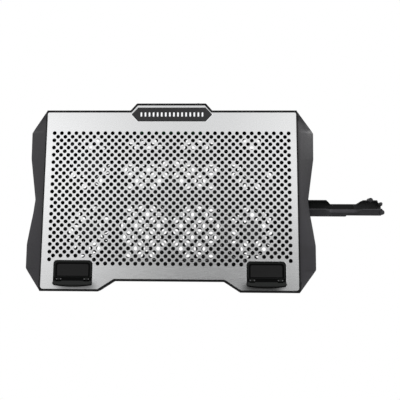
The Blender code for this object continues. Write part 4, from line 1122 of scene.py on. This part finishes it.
def build_stopper(label, mid_x):
    def flap_slot(centre, normal):
        """0 outside, 1 panel, 2 trough, dark with painted shade."""
        if normal.z > 0.9 and abs(centre.z - 27.6) < 0.05:
            return 1
        inside = abs(centre.x - mid_x) < STOP_HALF_W - 2.4 and centre.y < STOP_REAR_Y - 2.4
        return 2 if centre.z < 27.62 and normal.z > 0.2 and inside else 0

    def pair(near, far):
        """Spans of x at both ends of the stopper."""
        return [sorted((mid_x + end * near, mid_x + end * far)) for end in (-1, 1)]

    body = f"stopper_{label}"
    flap = make(f"stopper_flap_{label}", flap_shape(mid_x), [STOPPER, PANEL, SHADED_TROUGH], 24, flap_slot)
    show(flap, body, slot="stopper_plastic", body=body)
    heel = make(f"stopper_heel_{label}", heel_shape(mid_x), [STOPPER, SHADED_TROUGH, LIT_LIP_TOP], 40, heel_slot)
    cut(heel, together([box(*span, -112.0, -106.9, 23.0, 29.4) for span in pair(14.9, 22.0)]))
    show(soften(heel, 0.18, angle=50), slot="stopper_plastic", body=body)

    tray = make(f"stopper_bay_{label}", box(mid_x - 27.4, mid_x + 27.4, -120.5, -82.6, 14.4, 26.8),
                COVER)
    cut(tray, box(mid_x - 26.2, mid_x + 26.2, -119.4, -83.9, 15.5, 28.0))
    show(soften(tray, 0.3), f"stopper_tray_{label}", slot="black_plastic")
    ears = together([extrude([ear_outline()], *span, "X") for span in pair(16.5, 20.4)])
    show(soften(make(f"stopper_ears_{label}", ears, STOPPER), 0.25), slot="black_plastic")
    rod = cross_rod(BARREL_Y, BARREL_Z, [(mid_x - 25.3, 0.8), (mid_x - 25.1, 1.05),
                                         (mid_x + 25.1, 1.05), (mid_x + 25.3, 0.8)])
    show(make(f"stopper_rod_{label}", rod, ROD, 40), f"stopper_pin_{label}", slot="steel")


for label, side in (("left", -1), ("right", 1)):
    build_stopper(label, side * STOP_X)

# ============================================================ phone holder
# Sections across the bar as (y, z, corner radius), front to rear along the top.
SHOULDER = [(-22.8, 3.4, 0.4), (-22.8, 5.2, 0.8), (-13.7, 11.3, 0.4), (-12.4, 11.3, 0.4),
            (-11.7, 5.6, 0.7), (-2.9, 5.6, 0.7), (-2.2, 13.4, 0.35), (-0.8, 13.6, 0.35),
            (-1.2, 3.4, 0.5)]
SADDLE = [(-22.8, 3.4, 0.4), (-22.8, 4.9, 0.8), (-17.4, 6.6, 0.8), (-12.8, 6.7, 0.3),
          (-12.2, 5.6, 0.2), (-8.0, 5.6, 0.1), (-6.6, 5.58, 0.1), (-5.5, 5.3, 0.25),
          (-5.9, 3.4, 0.5)]
TAIL = [(-21.3, 3.4, 0.4), (-21.3, 5.2, 0.8), (-13.7, 10.9, 0.4), (-12.4, 10.9, 0.4),
        (-11.7, 5.6, 0.6), (-8.4, 5.6, 0.6), (-7.8, 11.1, 0.3), (-6.4, 11.3, 0.3),
        (-6.8, 3.4, 0.5)]
# Where the bar is cut into sections, in x.
HOLDER_STATIONS = [
    181.6, 187, 195, 203, 208, 211, 212.4, 212.9, 214, 215.5, 217, 218.5, 219.6, 220.2, 224, 230,
    236, 240.7, 241.3, 241.9, 248, 252, 254.7, 255.2, 256.5, 258, 259.5, 261, 262.2, 262.8, 266,
    272, 278, 281.4, 281.9, 282.8, 283.8, 284.5, 286, 288.4, 289.0]
# Turned profiles as (radius, z).
HOLDER_HUB = [(2.4, 5.2), (10.6, 5.2), (11.0, 5.6), (11.0, 13.1), (10.6, 13.6), (4.4, 13.6),
              (4.2, 13.3), (2.4, 13.3)]
PIVOT_SCREW = [(0.6, 4.3), (1.9, 4.3), (2.1, 3.6), (4.1, 3.5), (4.4, 3.8), (4.4, 4.7), (4.2, 4.9),
               (2.0, 4.9), (2.0, 18.2), (1.8, 18.4)]
# Knobs at the far end: x, y, steps round, profile.
KNOBS = [(289.2, -17.0, 32, [(3.0, 3.45), (3.5, 3.9), (3.5, 8.6), (3.1, 9.2), (2.2, 9.4),
                             (0.3, 9.4)]),
         (287.2, -5.4, 28, [(1.8, 3.45), (2.1, 3.8), (2.1, 11.5), (1.7, 11.95), (0.9, 12.0),
                            (0.2, 12.0)]),
         (273.4, -0.5, 28, [(2.7, 3.45), (3.1, 3.9), (3.1, 11.7), (2.6, 12.3), (1.4, 12.4),
                            (0.3, 12.4)])]


def progress(x, start, length):
    return max(0.0, min(1.0, (x - start) / length))


def mixed(first, second, share):
    return [tuple(a + (b - a) * share for a, b in zip(*points)) for points in zip(first, second)]


def holder_section(x):
    """High shoulders, a low saddle between them, then the narrower tail."""
    low = progress(x, 212.5, 7.4) if x < 237 else 1 - progress(x, 254.9, 7.5)
    step = progress(x, 240.8, 1.0)
    pull = step * step * (3 - 2 * step) * 1.5  # the front edge steps back towards the far end
    section = [(y + pull if y < -22 else y, z, radius)
               for y, z, radius in mixed(SHOULDER, SADDLE, low)]
    section = mixed(section, TAIL, progress(x, 281.5, 2.8))
    return [(x, y, z) for y, z in rounded(section, 4)]


def holder_slot(centre, normal):
    """0 outside, 1 slot, with painted shade, 2 bead and landing along the front wall, with a painted
    highlight, 3 slot at the far end, with painted shade.
    """
    x, y, z = centre
    # Bead and landing: a lighter colour as painted highlight.
    bead = normal.z > 0.9 and -13.8 < y < -12.3 and z > 10.5
    landing = normal.z > 0.8 and -17.5 < y < -12.3 and 6.2 < z < 7.2 and 216 < x < 258
    if bead or landing:
        return 2
    facing = (normal.z > 0.5 or y > -12.4) and normal.z > -0.5
    # The slot's floor and inner walls take darker colours as painted shade.
    if -12.9 < y < -1.6 and facing and z < 13.2 and x < 289:
        return 3 if x > 250 else 1
    return 0


bar = skin([holder_section(x) for x in HOLDER_STATIONS])
show(make("holder_cradle", bar, [HOLDER, SHADED_SLOT, LIT_BEAD, SHADED_TAIL_SLOT], 34, holder_slot), "phone_holder",
     slot="holder_plastic", body="phone_holder")
show(make("holder_hub", lathe(HOLDER_HUB, 48, *PIVOT, wrap=True), HOLDER, 34),
     slot="holder_plastic", body="phone_holder")
knobs = together([lathe(profile, count, x, y) for x, y, count, profile in KNOBS])
show(make("holder_knobs", knobs, HOLDER, 34), slot="holder_plastic", body="phone_holder")
show(make("holder_pivot_screw", lathe(PIVOT_SCREW, 32, *PIVOT), STEEL, 34), "phone_holder_pin",
     slot="steel")

# =================================================================== badge
BARS, BAR_PITCH = 16, 5.6
bar_places = [BADGE_X + (i - (BARS - 1) / 2) * BAR_PITCH for i in range(BARS)]


def bar_outline(x, half_x, half_y, radius):
    outline = rectangle(x - half_x, x + half_x, BADGE_Y - half_y, BADGE_Y + half_y)
    return rounded([(*point, radius) for point in outline], 3)


def light_bar(x):
    foot = bar_outline(x, 1.0, 2.85, 0.35)
    return skin([level(foot, 25.2), level(foot, 27.75),
                 level(bar_outline(x, 0.88, 2.7, 0.3), 27.86)])


lens_edge, lens_face = badge_outline(0.0, 0.5), badge_outline(-0.45, 0.45)
windows = [bar_outline(x, 1.25, 3.1, 0.4) for x in bar_places]
show(make("badge_face", extrude([lens_face, *windows], 27.35, 27.9), LENS, 30), "badge_lens",
     slot="smoked_lens")
bevel = skin([level(lens_face, 27.9), level(lens_edge, 27.62), level(lens_edge, 27.2),
              level(lens_face, 27.2)], wrap=True)
show(make("badge_bevel", bevel, LENS, 20), slot="smoked_lens")
guide = [light_bar(x) for x in bar_places] + [box(-44.0, 44.0, 109.5, 120.1, 23.4, 25.3)]
show(make("badge_light_bars", together(guide), LIGHT, 30), "badge_light_guide", slot="light_guide")

# ============================================================== rear stand
HINGE_Y, HINGE_Z = 103.0, 3.1
# Outline of the folded stand: x, y, corner radius. The two arms reach back to the hinge.
STAND = [(-155.0, 50.0, 3.0), (-21.0, 50.0, 3.0), (-17.0, 57.5, 3.0), (17.0, 57.5, 3.0),
         (21.0, 50.0, 3.0), (155.0, 50.0, 3.0), (155.0, 101.4, 0.0), (147.0, 101.4, 0.0),
         (147.0, 72.0, 3.0), (-147.0, 72.0, 3.0), (-147.0, 101.4, 0.0), (-155.0, 101.4, 0.0)]

stand = make("stand_bar", extrude([rounded(STAND, 5)], 2.3, 4.9), COVER)
eye = [circle(HINGE_Y, HINGE_Z, 2.2, 28), circle(HINGE_Y, HINGE_Z, 1.35, 20)]
eyes = [extrude(eye, *sorted((side * 147.0, side * 155.0)), "X") for side in (-1, 1)]
ribs = [box(-140, 140, y, y + 1.2, 1.9, 2.4) for y in (60.4, 66.4)]
show(soften(stand, 0.5, steps=3), "rear_stand", slot="black_plastic", body="rear_stand")
show(make("stand_eyes", together(eyes + ribs), COVER, 35), slot="black_plastic", body="rear_stand")
for label, side in (("left", -1), ("right", 1)):
    pad = rounded([(*point, 1.4) for point in
                   rectangle(*sorted((side * 112, side * 140)), 50.4, 56.4)], 4)
    show(soften(make(f"stand_pad_{label}", extrude([pad], 0.8, 2.1), RUBBER), 0.3),
         f"stand_tip_{label}", slot="rubber", body="rear_stand")
    rod = cross_rod(HINGE_Y, HINGE_Z, [(side * x, radius) for x, radius in
                                       ((142.8, 0.9), (143.1, 1.2), (158.7, 1.2), (159.0, 0.9))])
    show(make(f"stand_rod_{label}", rod, STEEL, 40), f"stand_pin_{label}", slot="steel")

# ================================================================ feet and screws
# Turned profiles as (radius, z).
FOOT = [(0.3, 0.35), (5.2, 0.3), (5.8, 0.0), (7.0, 0.0), (7.6, 0.25), (7.95, 0.9), (8.0, 1.8),
        (7.7, 2.1), (7.7, 2.6), (8.0, 2.9), (8.0, 5.1), (0.5, 5.1)]
CASE_SCREW = [(0.3, 5.65), (1.6, 5.7), (2.3, 5.95), (2.75, 6.4), (2.9, 6.9), (2.9, 7.5),
              (1.25, 7.8), (1.25, 23.7), (0.6, 24.0)]

for where in FANS:
    low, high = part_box(f"foot_{where}")
    x, y = (low.x + high.x) / 2 / MILLI, (low.y + high.y) / 2 / MILLI
    show(make(f"pad_{where}", lathe(FOOT, 48, x, y), RUBBER, 35), f"foot_{where}", slot="rubber")

for i, (x, y) in enumerate(SCREWS, 1):
    screw = make(f"cover_screw_{i}", lathe(CASE_SCREW, 28, x, y), SCREW, 34)
    for k in (0, 1):  # the cross in the head
        slit = turned_rectangle(x, y, 0.4 * i + k * math.pi / 2, -1.55, 1.55, 0.32)
        cut(screw, extrude([slit], 5.0, 6.9))
    smooth(screw.data, 34)
    show(screw, f"case_screw_{i}", slot="steel")

# ======================================================= sockets and controls
for label, x in (("left", -SOCKET_X), ("right", SOCKET_X)):
    socket = make(f"usb_shell_{label}", box(x - 6.5, x + 6.5, 114.5, 129.9, 14.8, 20.5), SHELL)
    cut(socket, box(x - 6.0, x + 6.0, 117.0, 131.0, 15.3, 20.0))
    show(soften(socket, 0.22), f"usb_socket_{label}", slot="steel")
    tongue = make(f"usb_tongue_{label}", box(x - 5.2, x + 5.2, 116.0, 128.6, 17.7, 19.2), TONGUE)
    show(soften(tongue, 0.2), slot="steel")

DIAL_Y, DIAL_R, DIAL_BORE_R, DIAL_TEETH = 126.6, 7.4, 1.5, 42
DIAL_STEPS = 4 * DIAL_TEETH
# Rim of the dial, bottom to top: z, drop of the radius.
DIAL_RIM = [(16.0, 0.5), (16.25, 0.15), (16.5, 0.0), (18.5, 0.0), (18.75, 0.15), (19.0, 0.5)]


def dial_shape():
    angles = [2 * math.pi * k / DIAL_STEPS for k in range(DIAL_STEPS)]
    teeth = [DIAL_R - 0.17 * (1 - math.cos(angle * DIAL_TEETH)) for angle in angles]
    rings = [([tooth - drop for tooth in teeth], z) for z, drop in DIAL_RIM]
    rings += [([DIAL_BORE_R] * DIAL_STEPS, z) for z in (19.0, 16.0)]
    return skin([[(CONTROL_X + radius * math.cos(angle), DIAL_Y + radius * math.sin(angle), z)
                  for radius, angle in zip(radii, angles)] for radii, z in rings], wrap=True)


show(make("speed_dial", dial_shape(), STOPPER, 35), "speed_wheel", slot="black_plastic",
     body="speed_wheel")

# Button, front to rear: y, radius.
BUTTON_RINGS = [(124.6, 3.0), (130.7, 3.0), (131.05, 2.8), (131.2, 2.3), (131.0, 1.6),
                (130.95, 0.3)]
cap = skin([[(x, y, z) for x, z in circle(-CONTROL_X, CONTROL_Z, radius, 40)]
            for y, radius in BUTTON_RINGS])
show(make("led_button", cap, BUTTON, 35), "power_button", slot="button_plastic",
     body="power_button")

# ============================================================ dressed CAD pieces


def dress(name, material, bevel=0.0):
    """A CAD piece keeps its shape and gets rounded edges, smooth shading and its finish."""
    obj = cad["nodes"][name]
    obj.data.materials.clear()
    obj.data.materials.append(material)
    for poly in obj.data.polygons:
        poly.material_index = 0
        poly.use_smooth = True
    weld = obj.modifiers.new("weld", "WELD")
    weld.merge_threshold = 2e-6
    if bevel:
        edges = obj.modifiers.new("edges", "BEVEL")
        edges.width = bevel * MILLI
        edges.segments = 2
        edges.limit_method = "ANGLE"
        edges.angle_limit = math.radians(40)
        edges.use_clamp_overlap = True
    split = obj.modifiers.new("split", "EDGE_SPLIT")
    split.split_angle = math.radians(34)


for where in FANS:
    dress(f"fan_stator_{where}", COIL, bevel=0.3)
    dress(f"fan_cable_{where}", JACKET)
dress("control_board", BOARD, bevel=0.15)
dress("wheel_post", STEEL, bevel=0.1)

BOARD_TOP_Z = 14.55
# Blocks on the board: x span, y span, top.
BLOCKS = [(-34, -26, 104, 112, 15.9), (-6, 6, 98, 104, 15.4), (24, 30, 100, 108, 17.2)]
BLOCKS += [(x - 2.6, x + 2.6, 92.4, 96.4, 17.6) for x in (-34, -22, 22, 34)]
blocks = together([box(*plan, BOARD_TOP_Z, top) for *plan, top in BLOCKS])
show(soften(make("board_parts", blocks, STOPPER), 0.25), slot="board")

# =================================================================== floor
WHITE = (1, 1, 1, 1)


def empty_graph(owner):
    owner.use_nodes = True
    owner.node_tree.nodes.clear()
    return Graph(owner.node_tree)


floor = make("studio_floor", box(-4000, 4000, -4000, 4000, -2.0, -0.02))
paper = bpy.data.materials.new("floor_paper")
paper_graph = empty_graph(paper)
paper_graph.node("OutputMaterial", {0: paper_graph.camera_split(
    unseen=paper_graph.node("BsdfDiffuse", {"Color": (0.85, 0.85, 0.85, 1)}),
    seen=paper_graph.node("Emission", {"Color": WHITE, "Strength": 1.0}))})
floor.data.materials.append(paper)

# =================================================================== light tent
# Overhead light tent. Seen from the plate it is bright to the left and rear, with a darker seam
# that runs from above the middle towards the front right.
TENT_STRENGTH = 1.35
# Tables of (slope of the direction from straight up, level). Brightness from front to rear:
DEPTH_LEVEL = [(-0.25, 0.0), (-0.09, 0.01), (-0.03, 0.055), (0.06, 0.305), (0.12, 0.43),
               (0.18, 0.58), (0.25, 0.73), (0.31, 0.53), (0.45, 0.54)]
# How much the left-to-right table counts, from front to rear:
SIDE_SHARE = [(-0.25, 0.80), (-0.03, 0.80), (0.06, 1.0), (0.12, 1.0), (0.17, 0.86), (0.25, 0.70),
              (0.31, 0.29), (0.45, 0.27)]
# Brightness from left to right, darkest at the seam:
SIDE_LEVEL = [(-0.6, 0.74), (-0.45, 0.65), (-0.36, 0.56), (-0.315, 0.46), (-0.27, 0.365),
              (-0.22, 0.24), (-0.16, 0.12), (-0.09, 0.03), (-0.02, 0.0), (0.04, 0.05),
              (0.092, 0.18), (0.135, 0.29), (0.178, 0.39), (0.4, 0.6)]
SEAM_BEND_START, SEAM_BEND = 0.11, 0.3  # ahead of the start the seam veers right by this ratio
LOWEST_HEIGHT = 0.05  # keeps the slopes finite near the horizon


def tent_ramp(graph, slope, stops):
    low, high = stops[0][0], stops[-1][0]
    ramp = graph.node("ValToRGB", {0: graph.remap(slope, span=(low, high))})
    ramp.color_ramp.interpolation = "B_SPLINE"
    elements = ramp.color_ramp.elements
    elements[0].color = (stops[0][1],) * 3 + (1,)
    elements[1].color = (stops[-1][1],) * 3 + (1,)
    for place, value in stops[1:-1]:
        elements.new((place - low) / (high - low)).color = (value, value, value, 1)
    return ramp.outputs[0]


def tent_radiance(graph):
    direction = graph.node("TexCoord").outputs["Generated"]
    x, y, z = graph.node("SeparateXYZ", {0: direction}).outputs
    height = graph.math("MAXIMUM", z, LOWEST_HEIGHT)
    slope_x, slope_y = graph.math("DIVIDE", x, height), graph.math("DIVIDE", y, height)
    ahead = graph.math("MAXIMUM", graph.math("SUBTRACT", SEAM_BEND_START, slope_y), 0.0)
    sideways = graph.math("SUBTRACT", slope_x, graph.math("MULTIPLY", ahead, SEAM_BEND))
    side = graph.math("MULTIPLY", tent_ramp(graph, slope_y, SIDE_SHARE),
                      tent_ramp(graph, sideways, SIDE_LEVEL))
    return graph.math("ADD", tent_ramp(graph, slope_y, DEPTH_LEVEL), side)


world = bpy.data.worlds.new("studio")
scene.world = world
sky = empty_graph(world)
# Seen directly, past the edge of the floor, the room is plain white.
sky.node("OutputWorld", {0: sky.camera_split(
    unseen=sky.node("Background", {"Color": tent_radiance(sky), "Strength": TENT_STRENGTH}),
    seen=sky.node("Background", {"Color": WHITE}))})

# =================================================================== lamps and camera


def area(name, place, size, power):
    """Square area light that faces the origin. Metres and watts."""
    data = bpy.data.lights.new(name, "AREA")
    data.shape = "RECTANGLE"
    data.size = size
    data.size_y = size
    data.energy = power
    obj = bpy.data.objects.new(name, data)
    scene.collection.objects.link(obj)
    obj.location = place
    obj.rotation_euler = (-Vector(place)).to_track_quat("-Z", "Y").to_euler()


area("key_soft", place=(-1.9, 1.3, 0.9), size=1.1, power=6.0)
area("fill_soft", place=(1.7, 0.98, 0.78), size=0.6, power=16.5)

camera_data = bpy.data.cameras.new("photo_camera")
camera = bpy.data.objects.new("photo_camera", camera_data)
scene.collection.objects.link(camera)
camera_data.sensor_width = 36.0
camera_data.lens = 38.97
camera_data.clip_start = 0.01
# The camera looks down from above the plate: its right, up and backward directions.
CAMERA_AXES = ((0.999781, 0.006348, -0.019933), (-0.004113, 0.993897, 0.110235),
               (0.020511, -0.110129, 0.993706))
pose = Matrix(CAMERA_AXES).transposed().to_4x4()
pose.translation = (0.052076, -0.067101, 0.604715)  # metres
camera.matrix_world = pose
scene.camera = camera
scene.view_settings.view_transform = "Standard"
scene.view_settings.look = "None"
